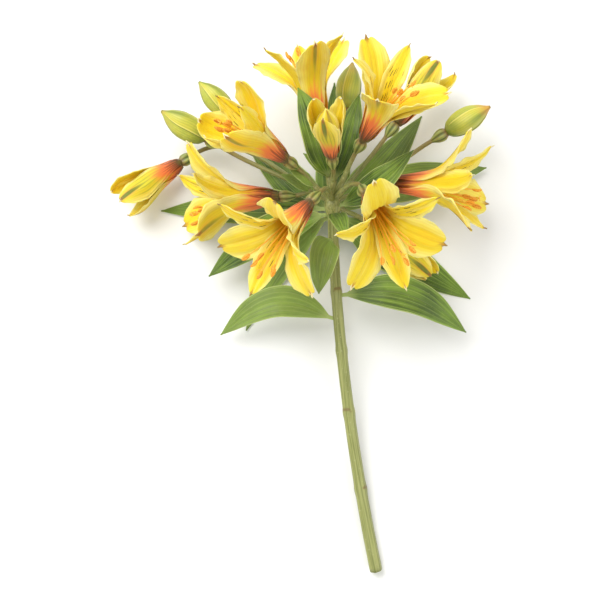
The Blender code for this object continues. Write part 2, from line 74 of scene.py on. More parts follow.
# The hub, and the stalk from its cut end to the hub.
HUB = Vector((16.7, 50.0, 29.0)) * MM
STALK_LENGTH = 185 * MM
STALK_RADIUS_AT_CUT = 3.2 * MM
STALK_RADIUS_AT_HUB = 2.6 * MM
STALK_SIDEWAYS = 22 * MM
STALK_LYING_SHARE = 0.1
STALK_RIBS = 7
STALK_RIB_DEPTH = 0.025
CUT_SLANT = math.radians(28)
SCAR_PLACES = (0.22, 0.43, 0.6, 0.76, 0.88)
SCAR_SWELL = 0.35 * MM
SCAR_SWELL_REACH = 0.0125
SCAR_REACH = 0.004
SCAR_BOW = 0.008
LEAF_TURN = math.radians(137.5)
KNOB_TILT = math.radians(-80)
KNOB_RIBS = 5
KNOB_RIB_DEPTH = 0.05

# Rays, pedicels and ovaries.
RAY_RADIUS = 1.5 * MM
PEDICEL_RADIUS = 1.15 * MM
RAY_TAPER = 1.1
PEDICEL_SINK = 0.6 * MM
OVARY_LENGTH = 8 * MM
OVARY_RADIUS = 3.1 * MM
OVARY_RIBS = 6
OVARY_RIB_DEPTH = 0.13
SEAT_GAP = 0.3 * MM

# Petals. The six claws make a tube up to a share of a petal's length, and the limb opens past it.
CLAW_RADIUS_OUTER = 3.5 * MM
CLAW_RADIUS_INNER = 2.3 * MM
CLAW_HALF_WIDTH = 1.9 * MM
CLAW_SHARE = 0.34
CLAW_WIDENS_OVER = 0.42
LIMB_WIDENS_FROM = 0.22
LIMB_OPENS_OVER = 0.3
TUBE_FLARE = math.radians(11)
SPREAD_SHARE = 0.68
TURN_SHARE = 0.66
PAST_TIP = 1.1
THROAT_CLOSING = 0.16
THROAT_PLACE = 0.3
THROAT_REACH = 0.16
FOOT_TUCK = 0.8 * MM
FOOT_NARROWING = 0.25
FOOT_REACH = 0.1
PETAL_TWIST = math.radians(15)
PETAL_EDGE_SHARE = 0.45
COLUMN_EVENNESS = 0.7
ROW_EVENNESS = 0.94

# What makes a petal uneven: its long waves, its frilled and ruffled edge, its folds, keel and point.
TEPAL_WAVE = 0.8 * MM
TEPAL_WAVES = 2.0
FRILL_SHARE = 0.016
RUFFLE_SHARE = 0.6
FOLD_HEIGHT = 0.36 * MM
KEEL_DEPTH = 0.5 * MM
POINT_LIFT = 0.9 * MM
POINT_HALF_WIDTH = 0.075
NOTCH_PLACE = 0.2
NOTCH_HALF_WIDTH = 0.12

# Buds and the closed middle of a half-open bloom.
LOBE_DEPTH = 0.1
LAP_HEIGHT = 0.085
BUD_SWAY = 0.07

# Leaves.
LEAF_SHOULDER = 0.8
LEAF_NARROWING_AT_STALK = 1.35
LEAF_NARROWING_AT_TIP = 0.9
LEAF_STALK_HALF_WIDTH = 1.0 * MM
LEAF_TIP_HALF_WIDTH = 0.35 * MM
LEAF_CURVES_OVER = 1.15
LEAF_WAVES = 2.5
LEAF_RIDGE = 0.05 * MM
LEAF_COCKLE = 0.18 * MM
LEAF_KEEL = 0.45 * MM
LEAF_ROOT_SHARE = 0.6
LEAF_ROOT_REACH = 0.035
LEAF_EDGE_SHARE = 0.4
LEAF_CAD_THICKNESS = 0.7 * MM

# Where a blade meets the surface, it is pressed flat over this height.
PRESS_SOFTNESS = 2.0 * MM

# Stamens and the style.
STAMEN_RING = 1.512 * MM
STAMEN_FOOT = 6.0 * MM
THREAD_TAPER = 0.65
STYLE_SHARE = 0.75
ANTHER_LENGTH = 5.2 * MM
ANTHER_BOW = 0.5 * MM
ANTHER_FLATNESS = 0.8
LOBE_SHARE = 0.7
LOBE_TAPER = 0.6

# The three lobes at the end of the style: millimetres ahead of its tip and aside.
LOBE_GUIDES = ((-0.2, 0.0), (0.9, 0.0), (1.8, 0.5), (2.0, 1.6))

# Turned profiles: millimetres along the axis, and the radius there.
KNOB_PROFILE = ((-6.5, 2.6), (-3.0, 3.9), (1.0, 4.2), (3.5, 3.2), (5.2, 1.3))
PLUG_PROFILE = ((0.0, 2.2), (1.5, 2.9), (5.0, 3.2), (6.5, 1.8))
DISC_PROFILE = ((5.3, 2.1), (6.7, 1.7))
HALF_OPEN_PROFILE = ((0, 2.3), (2, 3.6), (12, 4.7), (22, 6.4), (31, 4.8), (38, 0.7))
BUD_PROFILE = ((0, 2.2), (2, 4.3), (8, 6.2), (15, 6.1), (20.5, 4.0), (24, 1.7), (26, 0.6))

# Faces round and along each closed form.
FACES = {
    "stalk": (56, 150),
    "knob": (40, 18),
    "ray": (14, 26),
    "ovary": (48, 18),
    "plug": (24, 8),
    "disc": (16, 4),
    "thread": (8, 20),
    "lobe": (7, 9),
    "anther": (16, 14),
    "core": (72, 34),
    "bud": (96, 44),
}

# The studio, in metres.
FLOOR_RADIUS = 6
LIGHT_AIM = (0, 0.02, 0.03)
KEY_PLACE, KEY_SIZE = (-0.55, 0.5, 1.15), 1.0
FILL_PLACE, FILL_SIZE = (0.9, -0.5, 0.8), 1.2
CAMERA_DISTANCE = 0.72
CAMERA_AIM_HEIGHT = 0.03

# A petal's length and greatest half width in millimetres, where along it that is, the angles off the
# bloom's axis at the mouth and at the tip, and how far the limb is hollowed, in curvature per millimetre.
Tepal = namedtuple("Tepal", "length half_width widest mouth tip hollow")

FORMS = {
    "open": {
        "outer": Tepal(54, 10.0, 0.76, 46, 60, 0.035),
        "inner": Tepal(56, 6.0, 0.68, 34, 64, 0.060),
        "lower": Tepal(53, 6.8, 0.70, 36, 32, 0.050),
    },
    "wide": {
        "outer": Tepal(52, 10.2, 0.76, 60, 84, 0.025),
        "inner": Tepal(56, 6.0, 0.68, 46, 74, 0.050),
        "lower": Tepal(54, 6.8, 0.70, 44, 56, 0.045),
    },
    "cup": {
        "outer": Tepal(49, 10.2, 0.74, 34, 2, 0.050),
        "inner": Tepal(48, 6.0, 0.68, 22, 10, 0.070),
        "lower": Tepal(47, 6.8, 0.70, 24, 6, 0.060),
    },
}
HALF_OPEN_FORM = Tepal(40, 8.4, 0.64, 17, -15, 0.125)

# How each whorl's tip is cut: how far it narrows, how much its corners and notch fall back, and the
# little point that stands out of it.
Tip = namedtuple("Tip", "narrowing corner corner_power notch point")

TIPS = {
    "outer": Tip(0.30, 0.20, 4.0, 0.014, 0.030),
    "inner": Tip(0.66, 0.12, 3.0, 0.0, 0.030),
    "lower": Tip(0.56, 0.13, 3.2, 0.0, 0.030),
}

# How strongly each whorl is marked with the dashes of the inner petals.
WHORL_MARKS = {"outer": 0.0, "inner": 1.0, "lower": 0.55}

# Azimuth of each petal round the bloom's axis. The bloom's upper side is at 90 degrees.
WHORLS = (
    ("outer", 90),
    ("outer", 212),
    ("outer", 328),
    ("inner", 32),
    ("inner", 148),
    ("lower", 270),
)

# The free ends of the stamens and, last, of the style, in the bloom's own frame.
STAMEN_ENDS = (
    (-6.5, -6.0, 41.0),
    (-3.0, -9.5, 38.5),
    (1.5, -10.5, 42.0),
    (5.5, -8.0, 39.0),
    (6.5, -3.5, 41.0),
    (-1.0, -4.5, 37.5),
    (2.0, -6.5, 44.0),
)
STAMENS = 6
STAMEN_SPREAD = {"open": 1.0, "wide": 1.15, "cup": 0.62}

Bloom = namedtuple("Bloom", "name form ray foot facing upper size")

BLOOMS = (
    Bloom("bloom_1", "cup", "west_high", (-24, 18, 22), (-0.66, 0.30, 0.70), (0.2, 0.9, 0.4), 1.0),
    Bloom("bloom_2", "open", "west", (-28, 5, -3), (-0.97, -0.10, 0.20), (-0.1, 1, 0.25), 1.0),
    Bloom("bloom_3", "wide", "south_west", (-12, -6, 28), (-0.55, -0.70, 0.46), (0.1, 0.5, 0.9), 1.0),
    Bloom("bloom_4", "wide", "south", (16, -2, 28), (0.28, -0.70, 0.66), (-0.3, 0.7, 0.6), 1.0),
    Bloom("bloom_5", "open", "east", (30, 10, 4), (0.93, -0.12, 0.33), (-0.2, 0.9, 0.5), 1.0),
    Bloom("bloom_6", "open", "north_east", (15, 28, 22), (0.38, 0.50, 0.78), (-0.5, 0.8, -0.2), 0.95),
    Bloom("bloom_7", "open", "north", (-6, 36, 10), (-0.22, 0.93, 0.30), (0.1, -0.2, 1), 0.95),
)

HALF_OPEN = (
    Bloom("half_open_1", "half", "west", (-80, 27, -17), (-0.80, -0.58, 0.14), (0, 0, 1), 1.0),
    Bloom("half_open_2", "half", "north_east_low", (34, 46, -8), (0.60, 0.78, 0.15), (0, 0, 1), 1.0),
    Bloom("half_open_3", "half", "east_low", (24, -14, -6), (0.70, -0.70, 0.0), (0, 0, 1), 0.9),
    Bloom("half_open_4", "half", "top", (-1, 17, 31), (-0.10, 0.42, 0.90), (0, -1, 0.3), 0.9),
)

BUDS = (
    Bloom("bud_1", "bud", "west", (-66, 38, -8), (-0.85, 0.45, 0.30), (0, 0, 1), 1.05),
    Bloom("bud_2", "bud", "west_high", (-52, 46, 8), (-0.70, 0.65, 0.25), (0, 0, 1), 0.9),
    Bloom("bud_3", "bud", "east", (60, 40, -4), (0.85, 0.45, 0.25), (0, 0, 1), 1.0),
    Bloom("bud_4", "bud", "north_low", (8, 54, -8), (0.12, 0.98, -0.05), (0, 0, 1), 1.0),
)

# Each ray of the umbel: the point where it forks into its pedicels.
RAYS = {
    "west_high": (-9, 8, 7),
    "west": (-10, 7, -3),
    "south_west": (-2, 4, 12),
    "south": (5, 5, 11),
    "east": (12, 6, -1),
    "east_low": (6, -2, -4),
    "north_east": (6, 13, 7),
    "north_east_low": (9, 13, -6),
    "north": (-2, 14, 2),
    "north_low": (1, 14, -5),
    "top": (0, 9, 12),
}

# A leaf sits on the stalk this many millimetres below the hub, or at a ray's fork. Round its seat, 0 is
# at the right and 90 on top. It sets out in one direction and ends in another. Its length, its half
# width, the radius of the gutter that hollows it and its waves are in millimetres.
Leaf = namedtuple("Leaf", "name seat round start end length half_width face gutter wave")

LEAVES = (
    Leaf("leaf_01", "north", 95, (-0.10, 0.50, 0.85), (-0.42, 0.90, 0.0), 52, 10.0, (0.2, -0.2, 1), 22, 0.6),
    Leaf("leaf_02", 2, 196, (-0.80, 0.20, -0.65), (-0.99, -0.05, 0.0), 94, 10.0, (0, 0, 1), 26, 0.8),
    Leaf("leaf_03", 6, 214, (-0.70, -0.30, -0.70), (-0.35, -0.93, 0.0), 80, 9.5, (0.2, 0, 1), 24, 0.8),
    Leaf("leaf_04", 5, 172, (-0.90, -0.15, -0.25), (-0.75, -0.62, -0.1), 70, 10.0, (0.3, -0.3, 1), 24, 0.8),
    Leaf("leaf_05", 5, 80, (0.15, -0.35, 0.9), (0.3, -0.9, 0.3), 24, 5.0, (0, 0.6, 0.8), 12, 0.3),
    Leaf("leaf_06", 18, 110, (-0.3, -0.5, 0.8), (-0.05, -0.95, -0.3), 36, 8.5, (0.3, 0.3, 1), 9, 0.5),
    Leaf("leaf_07", 6, 326, (0.70, -0.30, -0.70), (0.85, -0.52, 0.0), 88, 12.0, (0, 0, 1), 30, 0.8),
    Leaf("leaf_08", 2, 304, (0.45, 0.50, -0.75), (0.60, 0.80, 0.0), 84, 10.5, (0, 0, 1), 26, 0.8),
    Leaf("leaf_09", 2, 270, (0.02, 0.50, -0.80), (0.02, 1, 0.0), 92, 9.5, (0, 0, 1), 26, 0.8),
    Leaf("leaf_10", 2, 236, (-0.45, 0.50, -0.75), (-0.65, 0.76, 0.0), 82, 10.0, (0, 0, 1), 26, 0.8),
    Leaf("leaf_11", "east", 270, (0.80, 0.30, -0.50), (0.97, 0.22, -0.08), 78, 10.5, (0, 0, 1), 26, 0.8),
    Leaf("leaf_12", 1, 25, (0.80, 0.30, 0.50), (0.7, 0.65, 0.30), 48, 7.5, (-0.3, 0.1, 1), 18, 0.5),
    Leaf("leaf_13", 46, 10, (0.9, 0.1, 0.35), (0.8, -0.55, -0.45), 72, 9.5, (0, 0, 1), 22, 0.7),
    Leaf("leaf_14", 58, 165, (-0.75, 0.4, 0.15), (-0.75, -0.55, -0.4), 66, 8.5, (0, 0, 1), 22, 0.7),
    Leaf("leaf_15", "north_low", 80, (0.3, 0.9, 0.3), (0.25, 0.95, 0.15), 46, 7.5, (-0.2, 0, 1), 20, 0.6),
)

# The small bracts grow out of the middle of a ray's fork.
BRACTS = (
    Leaf("bract_1", "west_high", 0, (-0.6, 0.3, 0.7), (-0.8, 0.5, 0.1), 18, 3.4, (0, 0.3, 1), 8, 0.2),
    Leaf("bract_2", "west", 0, (-0.7, 0.6, 0.1), (-0.9, 0.4, -0.2), 20, 3.4, (0, 0, 1), 8, 0.2),
    Leaf("bract_3", "east", 0, (0.6, 0.6, 0.1), (0.9, 0.5, 0.1), 20, 3.4, (0, 0, 1), 8, 0.2),
    Leaf("bract_4", "north", 0, (-0.6, 0.7, 0.3), (-0.8, 0.6, 0.1), 18, 3.2, (0.2, 0, 1), 8, 0.2),
)


def colour(red, green, blue):
    """A colour read off as it shows on a screen, 0 to 255, in the linear values that shaders use."""
    return tuple(
        v / 255 / 12.92 if v / 255 <= 0.04045 else ((v / 255 + 0.055) / 1.055) ** 2.4
        for v in (red, green, blue)
    )


# The second tones of the finishes. The first are settings.
PETAL_GOLD = colour(247, 198, 18)
# Painted highlight: pale cream patches on a petal's face.
PETAL_PAINTED_HIGHLIGHT = colour(252, 236, 116)
# Painted shade: olive-yellow patches on a petal's face, standing in for the shade in its folds.
PETAL_PAINTED_SHADE = colour(212, 188, 16)
PETAL_VEIN = colour(226, 172, 18)
BACK_GOLD = colour(245, 200, 42)
BACK_VEIN = colour(214, 156, 24)
YOUNG_RIB = colour(128, 134, 34)
FLUSH_END = colour(248, 162, 66)
FLUSH_STREAK = colour(142, 66, 34)
FOOT_GREEN = colour(112, 116, 52)
MIDRIB_GLOW = colour(238, 138, 58)
TIP_RED = colour(170, 84, 44)
POINT_PALE = colour(240, 228, 176)
POINT_BROWN = colour(158, 122, 62)
FILAMENT_END = colour(250, 186, 66)
POLLEN = colour(250, 192, 84)
ANTHER_GROOVE = colour(190, 96, 10)
# Paler green for some whole leaves: partly each leaf's own tone, partly painted light standing in for leaves
# in strong light.
LEAF_PALE_TONE_AND_PAINTED_LIGHT = colour(154, 176, 86)
UNDER_DEEP = colour(108, 138, 70)
STALK_FLECK = colour(196, 196, 146)
SCAR_BROWN = colour(120, 96, 54)
OVARY_FURROW = colour(92, 108, 46)
OVARY_RIB = colour(164, 172, 96)
OVARY_BLOTCH = colour(150, 108, 62)
PITH_GRAIN = colour(176, 190, 128)
BUD_FOOT = colour(122, 142, 58)
BUD_CLOUD = colour(214, 206, 82)
BUD_RIPE = colour(226, 212, 76)
BUD_VEIN = colour(132, 144, 52)
BUD_RIB = colour(112, 132, 44)
BUD_EDGE = colour(236, 228, 128)
BUD_BLUSH = colour(214, 128, 62)
BUD_TIP = colour(104, 104, 48)


def colour_setting(name, description, *default):
    return bpy.props.FloatVectorProperty(
        name=name, description=description, subtype="COLOR", size=3, min=0, max=1, default=colour(*default)
    )


def length_setting(name, description, default):
    return bpy.props.FloatProperty(
        name=name, description=description, subtype="DISTANCE", default=default, min=0, precision=5
    )


def number_setting(name, description, default, least=0):
    return bpy.props.FloatProperty(name=name, description=description, default=default, min=least)


def count_setting(name, description, default, least):
    return bpy.props.IntProperty(name=name, description=description, default=default, min=least)


class PetalSettings(bpy.types.PropertyGroup):
    face: colour_setting("Face", "The inner side of a petal", 238, 215, 38)
    edge: colour_setting("Edge", "The pale margin of a petal", 253, 240, 148)
    throat: colour_setting("Throat", "The inner side of the tube", 238, 182, 26)
    flush: colour_setting("Flush", "The orange-red outside of the tube", 238, 124, 64)
    foot: colour_setting("Foot", "The brown-green foot of the tube", 92, 64, 34)
    dash: colour_setting("Dashes", "The short dark lines on the inner petals", 60, 20, 6)
    callus: colour_setting("Tip", "The green midrib near a petal's tip", 118, 128, 38)
    young: colour_setting("Young", "The outside of a half-open bloom", 214, 206, 52)
    thickness: length_setting("Thickness", "How thick a petal is at its midrib", 0.6 * MM)
    columns: count_setting("Columns", "Faces across a petal", 28, 4)
    rows: count_setting("Rows", "Faces along a petal", 46, 8)


class StamenSettings(bpy.types.PropertyGroup):
    filament: colour_setting("Filament", "The thread of a stamen", 250, 190, 44)
    anther: colour_setting("Anther", "The head of a stamen", 232, 148, 30)
    radius: length_setting("Thread radius", "How thick the thread of a stamen is", 0.5 * MM)
    head: length_setting("Head radius", "How thick an anther is", 1.15 * MM)


class LeafSettings(bpy.types.PropertyGroup):
    upper: colour_setting("Upper side", "The upper side of a leaf", 122, 154, 48)
    deep: colour_setting("Deep green", "The darker green between a leaf's veins", 44, 74, 18)
    under: colour_setting("Under side", "The grey-green under side of a leaf", 154, 178, 108)
    margin: colour_setting("Margin", "The pale edge of a leaf", 196, 210, 132)
    thickness: length_setting("Thickness", "How thick a leaf is at its midrib", 0.6 * MM)
    columns: count_setting("Columns", "Faces across a leaf", 28, 4)
    rows: count_setting("Rows", "Faces along a leaf", 60, 8)


class StalkSettings(bpy.types.PropertyGroup):
    skin: colour_setting("Skin", "The stalk's pale olive skin", 160, 163, 98)
    shade: colour_setting("Streaks", "The darker streaks along the stalk", 120, 126, 62)
    tinge: colour_setting("Tinge", "The brown tinge near the blooms", 138, 98, 58)
    pith: colour_setting("Pith", "The cut face of the stalk", 214, 220, 176)
    bud: colour_setting("Bud", "A closed bud", 186, 192, 74)
    # Painted shade in the seam just under each edge of a bud that lies on top.
    bud_seam_painted_shade: colour_setting("Bud lines", "Where a bud's petals meet", 92, 108, 36)


class StudioSettings(bpy.types.PropertyGroup):
    floor: colour_setting("Floor", "The plain pale floor", 244, 244, 242)
    key_power: number_setting("Key light", "Power of the main light", 15)
    fill_power: number_setting("Fill light", "Power of the side light", 3.5)
    sky: number_setting("Sky", "Strength of the white surroundings", 0.72)
    elevation: bpy.props.FloatProperty(
        name="Elevation",
        description="How far the camera looks down on the stem",
        subtype="ANGLE",
        default=math.radians(80),
    )
    lens: number_setting("Lens", "Focal length in millimetres", 85, 10)


def clamp(x):
    return min(max(x, 0.0), 1.0)


def smooth(x):
    """0 up to 0, 1 from 1 on, and an easy curve between."""
    x = clamp(x)
    return x * x * (3 - 2 * x)


def bump(x, width):
    """1 at 0, falling off to each side."""
    return math.exp(-((x / width) ** 2))


def waver(first, second, share):
    """Two waves that don't keep step, so that a ruffle or a fold doesn't look regular."""
    return math.sin(first) + share * math.sin(second)


def from_hub(place):
    return HUB + Vector(place) * MM


def square_to(axis, direction):
    """The direction, turned as little as it takes to stand square to the axis."""
    return (direction - axis * direction.dot(axis)).normalized()


def twisted(x, y, angle):
    return x * math.cos(angle) - y * math.sin(angle), x * math.sin(angle) + y * math.cos(angle)


def pressed(point, lift=0.0, softness=0.0):
    """The point, kept at least lift above the surface that the stem lies on."""
    above = point.z - lift
    if above >= softness:
        return point
    height = lift
    if above > -softness:
        height += (above + softness) ** 2 / (4 * softness)
    return Vector((point.x, point.y, height))


def bezier(points, t):
    """The place and direction on a cubic curve."""
    a, b, c, d = points
    s = 1 - t
    place = a * s**3 + b * 3 * s * s * t + c * 3 * s * t * t + d * t**3
    heading = (b - a) * s * s + (c - b) * 2 * s * t + (d - c) * t * t
    return place, heading.normalized()


def profile_at(profile, along):
    """The radius on a turned profile, eased between its points."""
    if along <= profile[0][0]:
        return profile[0][1]
    for i, ((x0, r0), (x1, r1)) in enumerate(zip(profile, profile[1:])):
        if along <= x1:
            before = profile[i - 1] if i else (x0, r0)
            after = profile[i + 2] if i + 2 < len(profile) else (x1, r1)
            t = (along - x0) / (x1 - x0)
            slope0 = (r1 - before[1]) / (x1 - before[0]) * (x1 - x0)
            slope1 = (after[1] - r0) / (after[0] - x0) * (x1 - x0)
            return (
                r0 * (2 * t**3 - 3 * t**2 + 1)
                + slope0 * (t**3 - 2 * t**2 + t)
                + r1 * (3 * t**2 - 2 * t**3)
                + slope1 * (t**3 - t**2)
            )
    return profile[-1][1]


# Shared mesh work.


def sheet(name, columns, rows, place):
    """A grid whose points are put by a formula of side, -1 to 1, and along, 0 to 1."""
    bpy.ops.object.select_all(action="DESELECT")
    bpy.ops.mesh.primitive_grid_add(x_subdivisions=columns, y_subdivisions=rows, size=2)
    obj = bpy.context.object
    obj.name = name
    obj.data.name = name
    for vert in obj.data.vertices:
        vert.co = place(vert.co.x, (vert.co.y + 1) / 2)
    return obj


def closed_tube(name, faces, place):
    """A sheet rolled up and sewn along its seam and at both ends."""
    sides, rows = FACES[faces]
    obj = sheet(name, sides, rows, lambda side, along: place((side + 1) * math.pi, along))
    bpy.ops.object.mode_set(mode="EDIT")
    bpy.ops.mesh.select_all(action="SELECT")
    bpy.ops.mesh.remove_doubles(threshold=0.01 * MM)
    bpy.ops.mesh.normals_make_consistent(inside=False)
    bpy.ops.object.mode_set(mode="OBJECT")
    return obj


def past_pole(row, rows):
    """How far along a closed tube a row stands. The first and the last row are its poles."""
    return clamp((row - 1) / (rows - 2))


def turned_body(name, turned, profile, scale, faces, lobes=None, sway=0.0):
    """A turned body, closed at both ends. Lobes shape it round, and sway makes them wander."""
    rows = FACES[faces][1]
    low, high = profile[0][0], profile[-1][0]

    def place(angle, along):
        inner = past_pole(along * rows, rows)
        height = low + (high - low) * inner
        radius = 0.0 if along in (0.0, 1.0) else profile_at(profile, height)
        if lobes:
            radius *= lobes(angle, inner)
        angle += sway * math.sin(6 * inner)
        point = Vector((math.cos(angle) * radius, math.sin(angle) * radius, height)) * scale
        return pressed(turned @ point)

    return closed_tube(name, faces, place)


def thread(name, turned, guides, radii, faces):
    """A round thread along a curve, with closed ends."""
    rows = FACES[faces][1]
    across = bezier(guides, 0.0)[1].orthogonal()
    rings = []
    for row in range(rows + 1):
        along = past_pole(row, rows)
        middle, heading = bezier(guides, along)
        across = square_to(heading, across)
        radius = 0.0 if row in (0, rows) else radii[0] + (radii[1] - radii[0]) * along
        rings.append((middle, across, heading.cross(across), radius))

    def place(angle, along):
        middle, x, y, radius = rings[round(along * rows)]
        return pressed(turned @ (middle + (x * math.cos(angle) + y * math.sin(angle)) * radius))

    return closed_tube(name, faces, place)


def mark(obj, **values):
    """Writes plain numbers on all of a mesh's points, for its materials to read."""
    for name, value in values.items():
        layer = obj.data.attributes.new(name, "FLOAT", "POINT")
        layer.data.foreach_set("value", [value] * len(obj.data.vertices))


def squeeze_uv(obj, low, high):
    """Keeps a piece to a stretch of the pattern that runs along its petals."""
    for loop in obj.data.uv_layers["UVMap"].data:
        loop.uv.y = low + loop.uv.y * (high - low)


def give(obj, materials):
    for material in materials:
        obj.data.materials.append(material)


def thicken(obj, settings, edge_share, materials):
    """Gives a sheet its thickness, thinner toward its edges, with the second material beneath."""
    give(obj, materials)
    group = obj.vertex_groups.new(name="thick")
    for vert in obj.data.vertices:
        side = abs(vert.index % (settings.columns + 1) / settings.columns * 2 - 1)
        group.add([vert.index], 1 - (1 - edge_share) * side**2, "REPLACE")
    solid = obj.modifiers.new("thickness", "SOLIDIFY")
    solid.thickness = settings.thickness
    solid.offset = 0
    solid.vertex_group = group.name
    solid.material_offset = 1
    bpy.ops.object.modifier_apply(modifier=solid.name)
    obj.vertex_groups.clear()


def finish_piece(name, parts, materials, node):
    """One piece from several, in its node's place. A part with no material takes the first."""
    bpy.ops.object.select_all(action="DESELECT")
    for part in parts:
        part.select_set(True)
        if not part.data.materials:
            give(part, materials if part == parts[0] else materials[:1])
    obj = parts[0]
    bpy.context.view_layer.objects.active = obj
    if len(parts) > 1:
        bpy.ops.object.join()
    obj.name = name
    obj.data.name = name
    if list(obj.data.materials) != materials:
        raise RuntimeError(f"{name} has the materials {[m.name for m in obj.data.materials]}")
    bpy.ops.object.shade_smooth()
    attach(obj, "root")
    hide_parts(node)


# Materials.


class Value:
    """What comes out of a shader node. Its arithmetic adds the nodes that do it."""

    def __init__(self, finish, socket):
        self.finish = finish
        self.socket = socket

    def __add__(self, other):
        return self.finish.maths("ADD", self, other)

    def __radd__(self, other):
        return self.finish.maths("ADD", other, self)

    def __sub__(self, other):
        return self.finish.maths("SUBTRACT", self, other)

    def __rsub__(self, other):
        return self.finish.maths("SUBTRACT", other, self)

    def __mul__(self, other):
        return self.finish.maths("MULTIPLY", self, other)

    def __abs__(self):
        return self.finish.maths("ABSOLUTE", self)

    def __floor__(self):
        return self.finish.maths("FLOOR", self)

    def below(self, other):
        return self.finish.maths("LESS_THAN", self, other)

    def step(self, low, high):
        """0 at low, 1 at high and eased between, whichever of the two is the greater."""
        start, end = (0.0, 1.0) if low < high else (1.0, 0.0)
        inputs = ((0, self), (1, min(low, high)), (2, max(low, high)), (3, start), (4, end))
        return self.finish.add("ShaderNodeMapRange", inputs, interpolation_type="SMOOTHSTEP")

    def toward_edge(self):
        """0 on the middle line of a pattern, and 1 at both of its edges."""
        return abs(self - 0.5) * 2.0

    def off_middle(self):
        """How far the value is from the middle of its cell. A cell is 1 wide."""
        return abs(self.finish.maths("FRACT", self) - 0.5)

    def lines(self, count, width):
        """Thin lines, count of them as the value runs from 0 to 1."""
        return (self * count).off_middle().step(width, width * 0.35)

    def swing(self, reach):
        """A noise moved to lie around 0."""
        return (self - 0.5) * reach


class Finish:
    """A material being built, tone over tone. Glow is the light that goes in and comes out near by."""

    def __init__(self, name, roughness, glow=None, sheen=0.0, specular=0.5):
        self.material = bpy.data.materials.new(name)
        self.material.use_nodes = True
        self.tree = self.material.node_tree
        self.shader = self.tree.nodes["Principled BSDF"].inputs
        self.shader["Roughness"].default_value = roughness
        self.shader["Sheen Weight"].default_value = sheen
        self.shader["Specular IOR Level"].default_value = specular
        if glow:
            weight, reach, scale = glow
            self.shader["Subsurface Weight"].default_value = weight
            self.shader["Subsurface Radius"].default_value = reach
            self.shader["Subsurface Scale"].default_value = scale
        self.base = None

    def put(self, socket, value):
        if isinstance(value, Value):
            self.tree.links.new(value.socket, socket)
        elif socket.type == "RGBA":
            socket.default_value = (*value, 1)
        else:
            socket.default_value = value

    def add(self, kind, inputs=(), output=0, **settings):
        node = self.tree.nodes.new(kind)
        for name, value in settings.items():
            setattr(node, name, value)
        for key, value in inputs:
            self.put(node.inputs[key], value)
        return Value(self, node.outputs[output])

    def maths(self, operation, a, b=0.0):
        return self.add("ShaderNodeMath", ((0, a), (1, b)), operation=operation)

    def mix(self, share, first, second):
        return self.add("ShaderNodeMix", ((0, share), (6, first), (7, second)), 2, data_type="RGBA")

    def layer(self, share, tone):
        """Lays a tone over what is painted so far."""
        self.base = self.mix(share, self.base, tone)

    def attribute(self, name):
        return self.add("ShaderNodeAttribute", output="Fac", attribute_name=name)

    def pattern(self):
        """The coordinates of the piece's own pattern, across it and along it, each from 0 to 1."""
        u = self.add("ShaderNodeSeparateXYZ", ((0, self.add("ShaderNodeUVMap", uv_map="UVMap")),))
        return u, Value(self, u.socket.node.outputs[1])

    def vector(self, x, y, z):
        return self.add("ShaderNodeCombineXYZ", ((0, x), (1, y), (2, z)))

    def noise(self, place, scale, detail):
        inputs = (("Vector", place), ("Scale", scale), ("Detail", detail))
        return self.add("ShaderNodeTexNoise", inputs)

    def grain(self, scale, detail=2.0):
        """A noise in the piece's own coordinates."""
        return self.noise(self.add("ShaderNodeTexCoord", output="Object"), scale, detail)

    def flow(self, x, y, z=0.0, detail=2.0, scale=1.0):
        """A noise that follows the surface."""
        return self.noise(self.vector(x, y, z), scale, detail)

    def chance(self, x, y, z):
        """A number from 0 to 1 that is the same all over a cell."""
        return self.add("ShaderNodeTexWhiteNoise", ((0, self.vector(x, y, z)),))

    def rough(self, share, low, high):
        self.put(self.shader["Roughness"], share * (high - low) + low)

    def raise_by(self, height, distance, strength=0.6):
        inputs = (("Strength", strength), ("Distance", distance), ("Height", height))
        self.put(self.shader["Normal"], self.add("ShaderNodeBump", inputs))

    def painted(self):
        self.put(self.shader["Base Color"], self.base)
        return self.material


def petal_finish(name):
    """Soft and slightly see-through, as petals are."""
    return Finish(name, 0.5, (0.4, (1.0, 0.86, 0.18), 1.0 * MM), sheen=0.1, specular=0.35)


def petal_veins(skin, u, v):
    """Fine veins that fan out from the claw."""
    return (u + skin.flow(u * 3.0, v * 5.0).swing(0.05)).lines(15.0, 0.34)


def petal_relief(skin, veins, share):
    skin.raise_by(veins * share + skin.grain(900.0) * 0.35, 0.12 * MM)


def petal_tip(skin, side, v, tone, redness):
    """The midrib ends in a reddish mark and a little point, pale on some petals and browned on others."""
    skin.layer(v.step(0.90, 0.96) * side.step(0.2, 0.05) * redness, TIP_RED)
    point = skin.mix(tone.step(0.45, 0.6), POINT_PALE, POINT_BROWN)
    skin.layer(v.step(0.965, 0.985) * side.step(0.24, 0.16), point)


def petal_dashes(skin, u, v, side, whorl, tone):
    """Lanes along the petal, cut into lengths. Chance says which lengths carry a dash."""
    lanes, lengths, share, half_width = 9.0, 8.0, 0.56, 0.14
    lane_place = (u + skin.flow(u * 2.0, v * 4.0, tone).swing(0.08)) * lanes
    lane = math.floor(lane_place)
    length_place = v * lengths + skin.chance(lane, tone, 3.0) * 5.0
    there = skin.chance(lane, math.floor(length_place), tone * 7.0).below(whorl * share)
    width_here = length_place.off_middle().step(0.38, 0.2) * half_width
    dash = (lane_place.off_middle() - width_here).step(0.01, -0.05)
    region = v.step(0.34, 0.4) * v.step(0.8, 0.7) * side.step(0.9, 0.75)
    return dash * there * region


